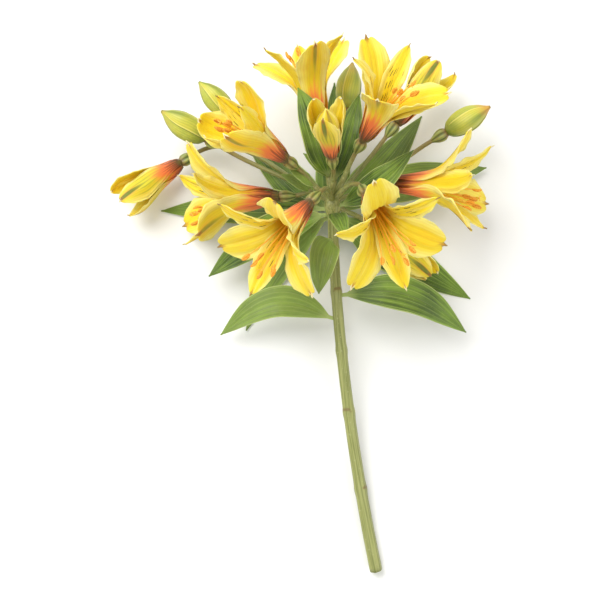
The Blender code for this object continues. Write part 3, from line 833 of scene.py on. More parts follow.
def petal_face(settings):
    """Lemon to golden yellow, paler at its margin, with patches of painted highlight and painted shade laid
    by one noise.
    """
    skin = petal_finish("petal_face")
    u, v = skin.pattern()
    side = u.toward_edge()
    tone = skin.attribute("tone")
    cloud = skin.grain(55.0, 3.0)
    highlight_and_shade_noise = skin.flow(u * 4.0, v * 1.5, tone * 9.0)
    skin.base = settings.throat
    skin.layer(v.step(0.18, 0.46), settings.face)
    skin.layer(cloud.step(0.47, 0.68) * side.step(1.0, 0.2) * 0.5, PETAL_GOLD)
    # Pale cream patches where the noise is high: painted highlight.
    skin.layer(highlight_and_shade_noise.step(0.5, 0.72) * v.step(0.3, 0.5) * 0.6, PETAL_PAINTED_HIGHLIGHT)
    # Olive-yellow patches where the same noise is low: painted shade, as in a petal's folds.
    skin.layer(highlight_and_shade_noise.step(0.42, 0.26) * v.step(0.2, 0.5) * 0.5, PETAL_PAINTED_SHADE)
    skin.layer(side.step(0.5, 1.0) * v.step(0.3, 0.6) * 0.8, settings.edge)
    veins = petal_veins(skin, u, v)
    skin.layer(veins * 0.16, PETAL_VEIN)
    skin.layer(petal_dashes(skin, u, v, side, skin.attribute("whorl"), tone) * 0.94, settings.dash)
    petal_tip(skin, side, v, tone, 0.6)
    skin.rough(cloud.step(0.3, 0.7), 0.42, 0.58)
    petal_relief(skin, veins, -0.5)
    return skin.painted()


def petal_back(settings):
    """A brown-green foot that streaks up into orange-red, then yellow with a green midrib near the tip."""
    skin = petal_finish("petal_back")
    u, v = skin.pattern()
    side = u.toward_edge()
    whorl, tone, young = (skin.attribute(name) for name in ("whorl", "tone", "young"))
    cloud = skin.grain(70.0, 3.0)
    streak = skin.flow(u * 13.0, v * 2.2, tone * 9.0, 4.0)
    skin.base = settings.face
    skin.layer(cloud.step(0.42, 0.7) * 0.5, BACK_GOLD)
    skin.layer(side.step(0.4, 1.0) * 0.8, settings.edge)
    skin.layer(young * side.step(1.0, 0.15), settings.young)
    veins = petal_veins(skin, u, v)
    skin.layer(veins * 0.18, BACK_VEIN)
    skin.layer(young * u.lines(7.0, 0.22) * v.step(0.95, 0.6) * 0.4, YOUNG_RIB)
    # The flush ends unevenly, furthest along at the midrib, and lower on the inner petals.
    flush_end = 0.52 + (side * -0.12 + whorl * -0.12) + streak.swing(0.5)
    flush = skin.mix(v.step(0.26, 0.5), settings.flush, FLUSH_END)
    skin.layer((v - flush_end).step(0.03, -0.2), flush)
    dark = streak + (0.25 - v) * 1.7
    skin.layer(dark.step(0.48, 0.68) * v.step(0.45, 0.3) * 0.75, FLUSH_STREAK)
    skin.layer(dark.step(0.66, 0.86) * 0.92, settings.foot)
    skin.layer(v.step(0.09, 0.01) * streak.step(0.66, 0.4) * 0.8, FOOT_GREEN)
    # The green midrib near the tip, with an orange glow round it.
    strength = (1.0 - whorl) * 0.7 + young * 0.3
    skin.layer(side.step(0.5, 0.1) * v.step(0.62, 0.92) * strength * (0.5 + young * 0.4), MIDRIB_GLOW)
    rib_width = 0.03 + v.step(0.5, 0.95) * (0.1 + young * 0.12)
    skin.layer((side - rib_width).step(0.09, -0.05) * v.step(0.45, 0.8) * strength, settings.callus)
    petal_tip(skin, side, v, tone, 0.8)
    skin.rough(cloud.step(0.3, 0.7), 0.4, 0.56)
    petal_relief(skin, veins, 0.5)
    return skin.painted()


def filament_finish(settings):
    skin = Finish("filament", 0.45, (0.3, (1.0, 0.5, 0.1), 0.8 * MM))
    _, v = skin.pattern()
    skin.base = settings.filament
    skin.layer(v.step(0.2, 0.9), FILAMENT_END)
    return skin.painted()


def anther_finish(settings):
    """Grainy with pollen, with the grooves between its sacs."""
    skin = Finish("anther", 0.85)
    u, _ = skin.pattern()
    grain = skin.grain(2600.0, 3.0)
    skin.base = settings.anther
    skin.layer(grain.step(0.4, 0.7), POLLEN)
    skin.layer(u.lines(2.0, 0.12) * 0.6, ANTHER_GROOVE)
    skin.raise_by(grain, 0.06 * MM, 0.5)
    return skin.painted()


def leaf_finish(name, deep, light, margin, roughness, vein_share):
    """Parallel veins from foot to tip, soft blotches, a pale margin and tiny pale specks. Some leaves are
    paler all over, partly their own tone and partly painted light for leaves in strong light.
    """
    skin = Finish(name, roughness, (0.12, (0.5, 1.0, 0.2), 0.6 * MM), specular=0.36)
    u, v = skin.pattern()
    side = u.toward_edge()
    tone = skin.attribute("tone")
    bands = skin.flow(u * 11.0, v * 1.4, tone * 9.0, 3.0, 1.5)
    skin.base = deep
    skin.layer((skin.grain(40.0, 4.0) * 0.55 + bands * 0.45).step(0.38, 0.62), light)
    # Some whole leaves paler: partly their own tone, partly painted light for leaves in strong light.
    skin.layer(tone.step(0.35, 1.0) * 0.5, LEAF_PALE_TONE_AND_PAINTED_LIGHT)
    place = u + skin.flow(u * 2.0, v * 3.0, tone).swing(0.03)
    strong, fine = place.lines(7.0, 0.09), place.lines(33.0, 0.3)
    skin.layer(fine * 0.09, margin)
    skin.layer(strong * vein_share, margin)
    skin.layer(skin.grain(1400.0, 1.0).step(0.70, 0.76) * 0.3, margin)
    skin.layer(side.step(0.92, 0.985) * 0.85, margin)
    skin.layer(v.step(0.14, 0.0) * 0.7, margin)
    skin.rough(bands.step(0.3, 0.7), roughness - 0.06, roughness + 0.1)
    skin.raise_by(strong * -0.8 + fine * 0.4 + skin.grain(500.0, 3.0) * 0.7, 0.14 * MM)
    return skin.painted()


def stalk_finish(settings):
    """Pale olive, streaked along its length, browner toward the blooms and at its scars."""
    skin = Finish("stalk_skin", 0.42, (0.1, (0.6, 1.0, 0.3), 1.0 * MM))
    u, v = skin.pattern()
    tone = skin.attribute("tone")
    streak = skin.flow(u * 26.0, v * 7.0, tone, 3.0)
    skin.base = settings.skin
    skin.layer(streak.step(0.36, 0.68), settings.shade)
    skin.layer(skin.grain(700.0).step(0.62, 0.75) * 0.35, STALK_FLECK)
    skin.layer(tone * v.step(0.35, 1.0) * 0.65, settings.tinge)
    skin.layer(skin.attribute("scar").step(0.1, 0.7) * 0.75, SCAR_BROWN)
    skin.raise_by(u.lines(14.0, 0.42) * 0.6 + streak * 0.4, 0.12 * MM)
    return skin.painted()


def ovary_finish(settings):
    """Six pale ribs, browner toward the petals, with brown blotches."""
    skin = Finish("ovary_skin", 0.42, (0.1, (0.6, 1.0, 0.3), 1.0 * MM))
    u, v = skin.pattern()
    skin.base = OVARY_FURROW
    skin.layer((u + 0.5 / OVARY_RIBS).lines(OVARY_RIBS, 0.42), OVARY_RIB)
    skin.layer(v.step(0.62, 1.0) * 0.8, settings.tinge)
    skin.layer(skin.grain(300.0, 3.0).step(0.5, 0.7) * 0.4, OVARY_BLOTCH)
    return skin.painted()


def pith_finish(settings):
    skin = Finish("stalk_pith", 0.7)
    skin.base = settings.pith
    skin.layer(skin.grain(1800.0, 3.0).step(0.35, 0.7), PITH_GRAIN)
    return skin.painted()


def bud_finish(settings):
    """Yellow-green, greener at its foot and along each midrib, pale along each edge that lies on top, with
    painted shade in the seam just under that edge.
    """
    skin = Finish("bud_skin", 0.42, (0.2, (0.8, 1.0, 0.2), 1.0 * MM))
    u, v = skin.pattern()
    cloud = skin.grain(120.0, 3.0)
    lap = skin.maths("FRACT", u * 3.0 + 0.5)
    skin.base = BUD_FOOT
    skin.layer(v.step(0.02, 0.4), settings.bud)
    skin.layer(cloud.step(0.4, 0.7) * 0.5, BUD_CLOUD)
    skin.layer(lap.step(0.5, 0.05) * v.step(0.15, 0.5) * 0.7, BUD_RIPE)
    veins = (u + cloud.swing(0.02)).lines(33.0, 0.3)
    skin.layer(veins * 0.22, BUD_VEIN)
    skin.layer(abs(lap - 0.5).step(0.17, 0.03) * v.step(0.25, 0.75) * 0.7, BUD_RIB)
    skin.layer(lap.step(0.07, 0.02) * v.step(0.08, 0.2) * 0.7, BUD_EDGE)
    # Painted shade in the seam just under each edge that lies on top.
    skin.layer(lap.step(0.93, 1.0) * 0.8, settings.bud_seam_painted_shade)
    blush = 0.25 + skin.attribute("tone") * 0.4
    skin.layer(v.step(0.6, 0.95) * cloud.step(0.35, 0.6) * blush, BUD_BLUSH)
    skin.layer(v.step(0.93, 0.99) * 0.8, BUD_TIP)
    skin.raise_by(veins, 0.12 * MM, 0.5)
    return skin.painted()


# The forms that the blooms share.


def bloom_frame(bloom):
    """From the bloom's own frame to the stem's: its axis is +Z, its upper side +Y."""
    axis = Vector(bloom.facing).normalized()
    upper = square_to(axis, Vector(bloom.upper))
    turn = Matrix((upper.cross(axis), upper, axis)).transposed().to_4x4()
    return Matrix.Translation(from_hub(bloom.foot)) @ turn


Draw = namedtuple("Draw", "turn mouth tip length sway phase")


def tepal_draw(rng, azimuth, spread):
    """The chance of one petal: its place round the bloom, its angles, length, lean and waves."""
    return Draw(
        turn=math.radians(azimuth + (rng.uniform(-spread, spread) if spread else 0)),
        mouth=math.radians(rng.uniform(-5, 5)),
        tip=math.radians(rng.uniform(-7, 7)),
        length=rng.uniform(0.97, 1.03),
        sway=rng.uniform(-0.06, 0.06),
        phase=rng.uniform(0, 2 * math.pi),
    )


def bloom_draws(number):
    """The chance of one bloom: its six petals, then how far each stamen and the style lean."""
    rng = random.Random(100 + number)
    tepals = [tepal_draw(rng, azimuth, 4) for _, azimuth in WHORLS]
    leans = [rng.uniform(-0.6, 0.6) for _ in STAMEN_ENDS]
    return tepals, leans


def midrib(shape, draw, size, claw_radius):
    """Distance from the axis, height and angle at each step along a petal."""
    mouth = math.radians(shape.mouth) + draw.mouth
    tip = math.radians(shape.tip) + draw.tip
    length = shape.length * MM * size * draw.length
    radius, height = claw_radius, 0.0
    steps = []
    for step in range(round(STEPS * PAST_TIP) + 1):
        along = step / STEPS
        spread = smooth((along - CLAW_SHARE) / (SPREAD_SHARE - CLAW_SHARE))
        angle = TUBE_FLARE + (mouth - TUBE_FLARE) * spread
        angle += (tip - mouth) * smooth((along - TURN_SHARE) / (1 - TURN_SHARE))
        steps.append((radius, height, angle))
        radius += math.sin(angle) * length / STEPS
        height += math.cos(angle) * length / STEPS
    return steps, length


def between(steps, along):
    """The values at a place, from the two steps beside it."""
    place = min(max(along, 0.0) * STEPS, len(steps) - 1.001)
    i = int(place)
    return [a + (b - a) * (place - i) for a, b in zip(steps[i], steps[i + 1])]


def tip_reach(tip, side):
    """How much of a petal's length is there on this side: corners and notch back, the point ahead."""
    reach = 1 - tip.corner * abs(side) ** tip.corner_power
    notch = tip.notch * bump(abs(side) - NOTCH_PLACE, NOTCH_HALF_WIDTH)
    return reach + tip.point * bump(side, POINT_HALF_WIDTH) - notch


def tepal_half_width(shape, tip, along, size):
    """From the narrow claw to the limb's widest place, and a little narrower to the tip."""
    body = shape.half_width * MM * size
    claw = CLAW_HALF_WIDTH + (body / 2 - CLAW_HALF_WIDTH) * smooth(along / CLAW_WIDENS_OVER)
    widening = smooth((along - LIMB_WIDENS_FROM) / (shape.widest - LIMB_WIDENS_FROM))
    width = claw + (body - claw) * widening
    past = max(0.0, (along - shape.widest) / (1 - shape.widest))
    return width * (1 - tip.narrowing * min(past, PAST_TIP) ** 1.5)


def tepal_relief(side, along, phase, wave, limb):
    """How far a petal stands off its plain curve: long waves, ruffles, folds, keel and point."""
    ripple = math.sin(2 * math.pi * TEPAL_WAVES * along + phase + side)
    height = wave * side * side * ripple * smooth(along * 3) * smooth((1 - along) * 3)
    ruffle = waver(31 * along + 3 * phase + 2.5 * side, 52 * along - phase + side, 0.6)
    height += RUFFLE_SHARE * wave * abs(side) ** 3 * ruffle * limb
    folds = waver(8 * side + phase + 2.5 * along, 15 * side - 2 * phase, 0.5)
    height += FOLD_HEIGHT * folds * limb * smooth((1.02 - along) * 4)
    height -= KEEL_DEPTH * bump(side, 0.1) * limb * smooth((1.02 - along) * 6)
    return height + POINT_LIFT * bump(side, 0.12) * smooth((along - 0.985) / 0.04)


def tepal(name, shape, tip, draw, bloom, claw_radius, wave, settings, materials):
    """A petal: a narrow claw, a broad limb with a fold down its middle and a rippled edge."""
    turned = bloom_frame(bloom)
    out = Vector((math.cos(draw.turn), math.sin(draw.turn), 0))
    across = Vector((-math.sin(draw.turn), math.cos(draw.turn), 0))
    axis = Vector((0, 0, 1))
    steps, length = midrib(shape, draw, bloom.size, claw_radius)
    phase = draw.phase

    def place(side, along):
        # The columns stand closer together near the midrib.
        side *= COLUMN_EVENNESS + (1 - COLUMN_EVENNESS) * abs(side)
        along = along**ROW_EVENNESS * tip_reach(tip, side)
        radius, height, angle = between(steps, along)
        limb = smooth((along - CLAW_SHARE) / LIMB_OPENS_OVER)
        foot = 1 - smooth(along / FOOT_REACH)
        radius -= FOOT_TUCK * foot
        frill = waver(34 * along + 2 * phase + side, 57 * along + phase - 2 * side, 0.7)
        half = tepal_half_width(shape, tip, along, bloom.size)
        half *= 1 + FRILL_SHARE * frill * side**4 * limb
        half *= 1 + THROAT_CLOSING * bump(along - THROAT_PLACE, THROAT_REACH)
        half *= 1 - FOOT_NARROWING * foot
        curve = (1 - limb) / radius + limb * shape.hollow / MM
        arc = side * half * curve
        rise = (1 - math.cos(arc)) / curve + tepal_relief(side, along, phase, wave, limb)
        twist = PETAL_TWIST * math.sin(5 * phase) * limb * along
        x, y = twisted(math.sin(arc) / curve, rise, twist)
        middle = out * radius + axis * height + across * (draw.sway * length * limb * along)
        up = axis * math.sin(angle) - out * math.cos(angle)
        point = turned @ (middle + across * x + up * y)
        return pressed(point, settings.thickness / 2, PRESS_SOFTNESS)

    obj = sheet(name, settings.columns, settings.rows, place)
    thicken(obj, settings, PETAL_EDGE_SHARE, materials)
    return obj


def lapped(angle, along):
    """Round a closed bud: three lobes, each with one edge lying over its neighbour."""
    place = (3 * angle / (2 * math.pi) + 0.5) % 1
    ends = smooth(along * 5) * smooth((1 - along) * 7)
    return 1 + LOBE_DEPTH * math.cos(3 * angle) + LAP_HEIGHT * (1 - place) ** 3 * ends


def three_petals_round(obj):
    """Lays the pattern of one petal on each third of a body's way round."""
    layer = obj.data.uv_layers["UVMap"].data
    for face in obj.data.polygons:
        across = [3 * layer[i].uv.x + 0.5 for i in face.loop_indices]
        start = math.floor(sum(across) / len(across))
        for i, x in zip(face.loop_indices, across):
            layer[i].uv.x = x - start


# The operators. The forms of leaves and stalk stand before the operators that use them.


class ALSTROEMERIA_OT_tepals(bpy.types.Operator):
    """Makes the six petals of each open bloom"""

    bl_idname = "alstroemeria.tepals"
    bl_label = "Open blooms"

    def execute(self, context):
        settings = context.scene.alstroemeria_petals
        materials = [petal_back(settings), petal_face(settings)]
        for number, bloom in enumerate(BLOOMS):
            draws, _ = bloom_draws(number)
            parts = []
            for i, (whorl, _) in enumerate(WHORLS):
                name = f"{bloom.name}_{i}"
                shape, tip = FORMS[bloom.form][whorl], TIPS[whorl]
                claw_radius = CLAW_RADIUS_OUTER if whorl == "outer" else CLAW_RADIUS_INNER
                petal = tepal(name, shape, tip, draws[i], bloom, claw_radius, TEPAL_WAVE, settings, materials)
                mark(petal, whorl=WHORL_MARKS[whorl], tone=(number * 0.37 + i * 0.23) % 1, young=0.0)
                parts.append(petal)
            plug = turned_body(f"{bloom.name}_plug", bloom_frame(bloom), PLUG_PROFILE, MM, "plug")
            mark(plug, whorl=0.0, tone=0.5, young=0.0)
            squeeze_uv(plug, 0.0, 0.1)
            parts.append(plug)
            finish_piece(f"{bloom.name}_petals", parts, materials, f"{bloom.name}_tepals")
        return {"FINISHED"}


class ALSTROEMERIA_OT_stamens(bpy.types.Operator):
    """Makes the stamens and the style of each open bloom"""

    bl_idname = "alstroemeria.stamens"
    bl_label = "Stamens"

    def execute(self, context):
        settings = context.scene.alstroemeria_stamens
        materials = [filament_finish(settings), anther_finish(settings)]
        for number, bloom in enumerate(BLOOMS):
            _, leans = bloom_draws(number)
            turned = bloom_frame(bloom)
            parts = []
            for i, lean in enumerate(leans):
                is_style = i == STAMENS
                guides = self.guides(bloom, i, lean)
                thick = settings.radius * (STYLE_SHARE if is_style else 1)
                radii = (thick, thick * THREAD_TAPER)
                parts.append(thread(f"{bloom.name}_thread_{i}", turned, guides, radii, "thread"))
                tip, heading = bezier(guides, 1.0)
                if is_style:
                    parts += self.stigma(bloom, tip, heading, turned, settings)
                else:
                    head = self.anther(bloom, tip, heading, i * 1.1 + number, turned, settings)
                    give(head, materials)
                    head.data.polygons.foreach_set("material_index", [1] * len(head.data.polygons))
                    parts.append(head)
            parts.append(turned_body(f"{bloom.name}_disc", turned, DISC_PROFILE, MM, "disc"))
            finish_piece(f"{bloom.name}_threads", parts, materials, f"{bloom.name}_stamens")
        return {"FINISHED"}

    def guides(self, bloom, i, lean):
        """From the ring of stamens, with the style in its middle, through the tube to the free end."""
        ring = 0.0 if i == STAMENS else STAMEN_RING
        turn = math.pi + 2 * math.pi * i / STAMENS
        spread = STAMEN_SPREAD[bloom.form] * bloom.size
        end_x, end_y, end_z = STAMEN_ENDS[i]
        x = (end_x * spread + lean) * MM
        y = end_y * spread * MM
        start = Vector((math.cos(turn) * ring, math.sin(turn) * ring, STAMEN_FOOT))
        return (
            start,
            Vector((start.x + x * 0.1, start.y + y * 0.1, 16 * MM)),
            Vector((x * 0.4, y * 0.55, 27 * MM)),
            Vector((x, y, end_z * bloom.size * MM)),
        )

    def anther(self, bloom, tip, heading, lean, turned, settings):
        """Two pollen sacs side by side, slightly bowed, on the end of the thread."""
        across = Matrix.Rotation(lean, 3, heading) @ heading.orthogonal().normalized()
        other = heading.cross(across)

        def place(angle, along):
            swell = math.sin(math.pi * along) ** 0.42
            radius = settings.head * swell * (1 + 0.16 * math.cos(2 * angle)) * (1 - 0.15 * along)
            bow = other * (ANTHER_BOW * math.sin(math.pi * along))
            middle = tip + heading * (ANTHER_LENGTH * (along - 0.03)) + bow
            outward = across * math.cos(angle) * radius
            return turned @ (middle + outward + other * math.sin(angle) * radius * ANTHER_FLATNESS)

        return closed_tube(f"{bloom.name}_anther", "anther", place)

    def stigma(self, bloom, tip, heading, turned, settings):
        """Three short lobes that curl away from each other."""
        side = heading.orthogonal().normalized()
        radii = (settings.radius * LOBE_SHARE, settings.radius * LOBE_SHARE * LOBE_TAPER)
        lobes = []
        for i in range(3):
            away = Matrix.Rotation(2 * math.pi * i / 3, 3, heading) @ side
            guides = [tip + heading * ahead * MM + away * aside * MM for ahead, aside in LOBE_GUIDES]
            lobes.append(thread(f"{bloom.name}_lobe_{i}", turned, guides, radii, "lobe"))
        return lobes


class ALSTROEMERIA_OT_half_open(bpy.types.Operator):
    """Makes the half-open blooms: three outer petals parting round the closed inner ones"""

    bl_idname = "alstroemeria.half_open"
    bl_label = "Half-open blooms"

    def execute(self, context):
        settings = context.scene.alstroemeria_petals
        materials = [bpy.data.materials["petal_back"], bpy.data.materials["petal_face"]]
        for number, bloom in enumerate(HALF_OPEN):
            rng = random.Random(200 + number)
            claw_radius = CLAW_RADIUS_OUTER * bloom.size
            parts = []
            for i in range(3):
                name, draw = f"{bloom.name}_{i}", tepal_draw(rng, 90 + 120 * i, 0)
                shape, tip, wave = HALF_OPEN_FORM, TIPS["lower"], TEPAL_WAVE / 2
                petal = tepal(name, shape, tip, draw, bloom, claw_radius, wave, settings, materials)
                mark(petal, whorl=0.0, tone=(number * 0.31 + i * 0.27) % 1, young=1.0)
                parts.append(petal)
            turned, scale = bloom_frame(bloom), MM * bloom.size
            name, profile = f"{bloom.name}_core", HALF_OPEN_PROFILE
            core = turned_body(name, turned, profile, scale, "core", lapped, BUD_SWAY)
            three_petals_round(core)
            mark(core, whorl=0.6, tone=0.4, young=0.8)
            parts.append(core)
            finish_piece(f"{bloom.name}_bloom", parts, materials, bloom.name)
        return {"FINISHED"}


class ALSTROEMERIA_OT_buds(bpy.types.Operator):
    """Makes the closed buds, with painted shade along the lines where their petals meet"""

    bl_idname = "alstroemeria.buds"
    bl_label = "Buds"

    def execute(self, context):
        material = bud_finish(context.scene.alstroemeria_stalk)
        for number, bloom in enumerate(BUDS):
            turned, scale = bloom_frame(bloom), MM * bloom.size
            sway = BUD_SWAY * (-1) ** number
            obj = turned_body(f"{bloom.name}_body", turned, BUD_PROFILE, scale, "bud", lapped, sway)
            mark(obj, tone=(number * 0.45) % 1)
            finish_piece(f"{bloom.name}_skin", [obj], [material], bloom.name)
        return {"FINISHED"}


def leaf_half_width(leaf, along):
    """Narrow at its stalk, widest near its middle, and drawn out to its tip."""
    place = max(along, 0.0) ** LEAF_SHOULDER
    full = max(0.0, math.sin(math.pi * place))
    if place < 0.5:
        return max(leaf.half_width * MM * full**LEAF_NARROWING_AT_STALK, LEAF_STALK_HALF_WIDTH)
    return max(leaf.half_width * MM * full**LEAF_NARROWING_AT_TIP, LEAF_TIP_HALF_WIDTH)


def leaf_steps(leaf, foot):
    """The midrib of a leaf: its place and direction at each step."""
    start = Vector(leaf.start).normalized()
    end = Vector(leaf.end).normalized()
    place = foot.copy()
    steps = []
    for step in range(STEPS + 1):
        heading = start.lerp(end, smooth(step / STEPS * LEAF_CURVES_OVER)).normalized()
        steps.append((place.copy(), heading))
        place += heading * (leaf.length * MM / STEPS)
    return steps


def stalk_point(share):
    """A place on the stalk's middle line: 0 at the cut end, 1 at the hub."""
    back = 1 - share
    rise = max(0.0, (share - STALK_LYING_SHARE) / (1 - STALK_LYING_SHARE)) ** 1.2
    height = STALK_RADIUS_AT_CUT + (HUB.z - STALK_RADIUS_AT_CUT) * rise
    return Vector((HUB.x + STALK_SIDEWAYS * back**1.7, HUB.y - STALK_LENGTH * back, height))


def stalk_radius(share):
    """The stalk tapers to the hub, and swells at each leaf scar."""
    radius = STALK_RADIUS_AT_CUT + (STALK_RADIUS_AT_HUB - STALK_RADIUS_AT_CUT) * share
    return radius + sum(SCAR_SWELL * bump(share - place, SCAR_SWELL_REACH) for place in SCAR_PLACES)


def seat_radius(below):
    """How far from its middle line the stalk or the knob reaches, this far below the hub."""
    reach = stalk_radius(1 - below / STALK_LENGTH)
    for (low, r_low), (high, r_high) in zip(KNOB_PROFILE, KNOB_PROFILE[1:]):
        if low * MM <= -below <= high * MM:
            reach = max(reach, (r_low + (r_high - r_low) * (-below - low * MM) / ((high - low) * MM)) * MM)
    return reach


def leaf_seat(leaf):
    """The middle of what the leaf grows from, and the leaf's own foot beside it."""
    turn = math.radians(leaf.round)
    outward = Vector((math.cos(turn), 0, math.sin(turn)))
    if leaf.seat in RAYS:
        middle, radius = from_hub(RAYS[leaf.seat]), RAY_RADIUS
    else:
        middle, radius = stalk_point(1 - leaf.seat * MM / STALK_LENGTH), seat_radius(leaf.seat * MM)
    start = Vector(leaf.start).normalized()
    up = square_to(start, Vector(leaf.face))
    across = start.cross(up)
    corner = abs(across.dot(outward)) * LEAF_STALK_HALF_WIDTH + abs(up.dot(outward)) * LEAF_CAD_THICKNESS / 2
    return middle, middle + outward * (radius + SEAT_GAP + corner)


def leaf_relief(leaf, side, along, full):
    """How far a leaf stands off its plain gutter: waves, ridges along its veins, cockles and keel."""
    ripple = math.sin(2 * math.pi * LEAF_WAVES * along + leaf.round + side)
    height = leaf.wave * MM * side * side * ripple * smooth(along * 3) * smooth((1 - along) * 3)
    ridges = math.cos(2 * math.pi * side * 3.5) + 0.6 * math.cos(2 * math.pi * side * 6.2 + leaf.round)
    height += LEAF_RIDGE * ridges * full
    cockle = math.sin(7 * side + 19 * along + leaf.round) * math.sin(23 * along + 2 * leaf.round)
    height += LEAF_COCKLE * cockle * min(1.0, abs(side) * 1.5) * full
    return height - LEAF_KEEL * bump(side, 0.08) * full


def leaf_blade(leaf, root, foot, settings, tone, materials):
    """A leaf, whose foot runs back into what it grows from."""
    steps = leaf_steps(leaf, foot)
    gutter = leaf.gutter * MM

    def place(side, along):
        step = min(along * STEPS, STEPS - 0.001)
        i = int(step)
        (a, ahead), (b, beyond) = steps[i], steps[i + 1]
        middle = a.lerp(b, step - i)
        heading = ahead.lerp(beyond, step - i).normalized()
        up = square_to(heading, Vector(leaf.face))
        half = leaf_half_width(leaf, along)
        arc = side * half / gutter
        # The relief fades out where the blade is narrower than a few millimetres.
        full = smooth(half / (4 * MM) - 0.25)
        rise = (1 - math.cos(arc)) * gutter + leaf_relief(leaf, side, along, full)
        back = (root - foot) * (LEAF_ROOT_SHARE * smooth(1 - along / LEAF_ROOT_REACH))
        point = middle + back + heading.cross(up) * (math.sin(arc) * gutter) + up * rise
        return pressed(point, settings.thickness / 2, PRESS_SOFTNESS)

    obj = sheet(leaf.name, settings.columns, settings.rows, place)
    thicken(obj, settings, LEAF_EDGE_SHARE, materials)
    mark(obj, tone=tone)
    return obj


class ALSTROEMERIA_OT_leaves(bpy.types.Operator):
    """Makes the leaves of the whorl, among the rays and on the upper stalk"""

    bl_idname = "alstroemeria.leaves"
    bl_label = "Leaves"

    def execute(self, context):
        settings = context.scene.alstroemeria_leaves
        materials = [
            leaf_finish("leaf_upper", settings.deep, settings.upper, settings.margin, 0.4, 0.22),
            leaf_finish("leaf_under", UNDER_DEEP, settings.under, settings.margin, 0.55, 0.36),
        ]
        for number, leaf in enumerate(LEAVES):
            root, foot = leaf_seat(leaf)
            obj = leaf_blade(leaf, root, foot, settings, (number * 0.38) % 1, materials)
            finish_piece(f"{leaf.name}_blade", [obj], materials, leaf.name)
        return {"FINISHED"}


class ALSTROEMERIA_OT_bracts(bpy.types.Operator):
    """Makes the small bracts where the rays fork"""

    bl_idname = "alstroemeria.bracts"
    bl_label = "Bracts"

    def execute(self, context):
        settings = context.scene.alstroemeria_leaves
        materials = [bpy.data.materials["leaf_upper"], bpy.data.materials["leaf_under"]]
        parts = []
        for bract in BRACTS:
            fork = from_hub(RAYS[bract.seat])
            parts.append(leaf_blade(bract, fork, fork, settings, 0.9, materials))
        finish_piece("bracts", parts, materials, "stalk")
        return {"FINISHED"}


class ALSTROEMERIA_OT_stalk(bpy.types.Operator):
    """Makes the stalk with its slanting cut, the knob, the rays and the pedicels"""

    bl_idname = "alstroemeria.stalk"
    bl_label = "Stalk and rays"

    def execute(self, context):
        settings = context.scene.alstroemeria_stalk
        materials = [stalk_finish(settings), pith_finish(settings)]
        main = self.main_stalk()
        give(main, materials)
        self.mark_cut(main)
        mark(main, tone=0.0)
        self.mark_scars(main)
        parts = [main, self.knob()]
        for name, fork in RAYS.items():
            end = from_hub(fork)
            outward = (end - HUB).normalized()
            leaving = (outward + Vector((0, 1, 0.2))).normalized()
            parts.append(self.ray(name, HUB, leaving, end, outward, RAY_RADIUS, 0.15))
        for bloom in BLOOMS + HALF_OPEN + BUDS:
            fork = from_hub(RAYS[bloom.ray])
            outward = (fork - HUB).normalized()
            facing = Vector(bloom.facing).normalized()
            foot = from_hub(bloom.foot) - facing * OVARY_LENGTH
            start = fork - outward * PEDICEL_SINK
            parts.append(self.ray(f"{bloom.name}_pedicel", start, outward, foot, facing, PEDICEL_RADIUS, 0.8))
        finish_piece("stalk_and_rays", parts, materials, "stalk")
        return {"FINISHED"}

    def main_stalk(self):
        """The stalk lies on its cut end and rises to the hub."""
        rows = FACES["stalk"][1]
        cut = Matrix.Rotation(CUT_SLANT, 3, "X") @ (stalk_point(0.01) - stalk_point(0)).normalized()

        def place(angle, along):
            row = round(along * rows)
            share = past_pole(row, rows)
            heading = (stalk_point(min(1, share + 0.01)) - stalk_point(max(0, share - 0.01))).normalized()
            if row <= 1:
                heading = cut
            across = heading.cross(Vector((0, 0, 1))).normalized()
            up = heading.cross(across)
            radius = stalk_radius(share) * (1 + STALK_RIB_DEPTH * math.cos(STALK_RIBS * angle))
            if row in (0, rows):
                radius = 0.0
            return pressed(stalk_point(share) + (across * math.cos(angle) + up * math.sin(angle)) * radius)

        return closed_tube("stalk_main", "stalk", place)

    def mark_scars(self, obj):
        """A brown crescent where each lower leaf came off, each further round the stalk."""
        layer = obj.data.attributes.new("scar", "FLOAT", "POINT")
        for vert in obj.data.vertices:
            share = 1 - (HUB.y - vert.co.y) / STALK_LENGTH
            out = vert.co - stalk_point(clamp(share))
            around = math.atan2(out.z, out.x)
            for number, place in enumerate(SCAR_PLACES):
                side = max(0.0, math.cos(around - number * LEAF_TURN))
                crescent = bump(share - place - SCAR_BOW * side, SCAR_REACH)
                layer.data[vert.index].value += crescent * smooth(side * 1.6)

    def mark_cut(self, obj):
        """The cut face is the fan of faces round the tube's first point."""
        first = stalk_point(0)
        centre = min(obj.data.vertices, key=lambda vert: (vert.co - first).length).index
        for face in obj.data.polygons:
            if centre in face.vertices:
                face.material_index = 1

    def knob(self):
        def ribs(angle, along):
            return 1 + KNOB_RIB_DEPTH * math.cos(KNOB_RIBS * angle)

        turned = Matrix.Translation(HUB) @ Matrix.Rotation(KNOB_TILT, 4, "X")
        obj = turned_body("stalk_knob", turned, KNOB_PROFILE, MM, "knob", ribs)
        mark(obj, tone=0.1)
        return obj

    def ray(self, name, start, leaving, end, arriving, radius, tone):
        """A ray or pedicel, which leaves and arrives in a given direction and tapers a little."""
        reach = (end - start).length
        guides = (start, start + leaving * reach * 0.35, end - arriving * reach * 0.4, end)
        obj = thread(name, Matrix.Identity(4), guides, (radius * RAY_TAPER, radius), "ray")
        mark(obj, tone=tone)
        return obj


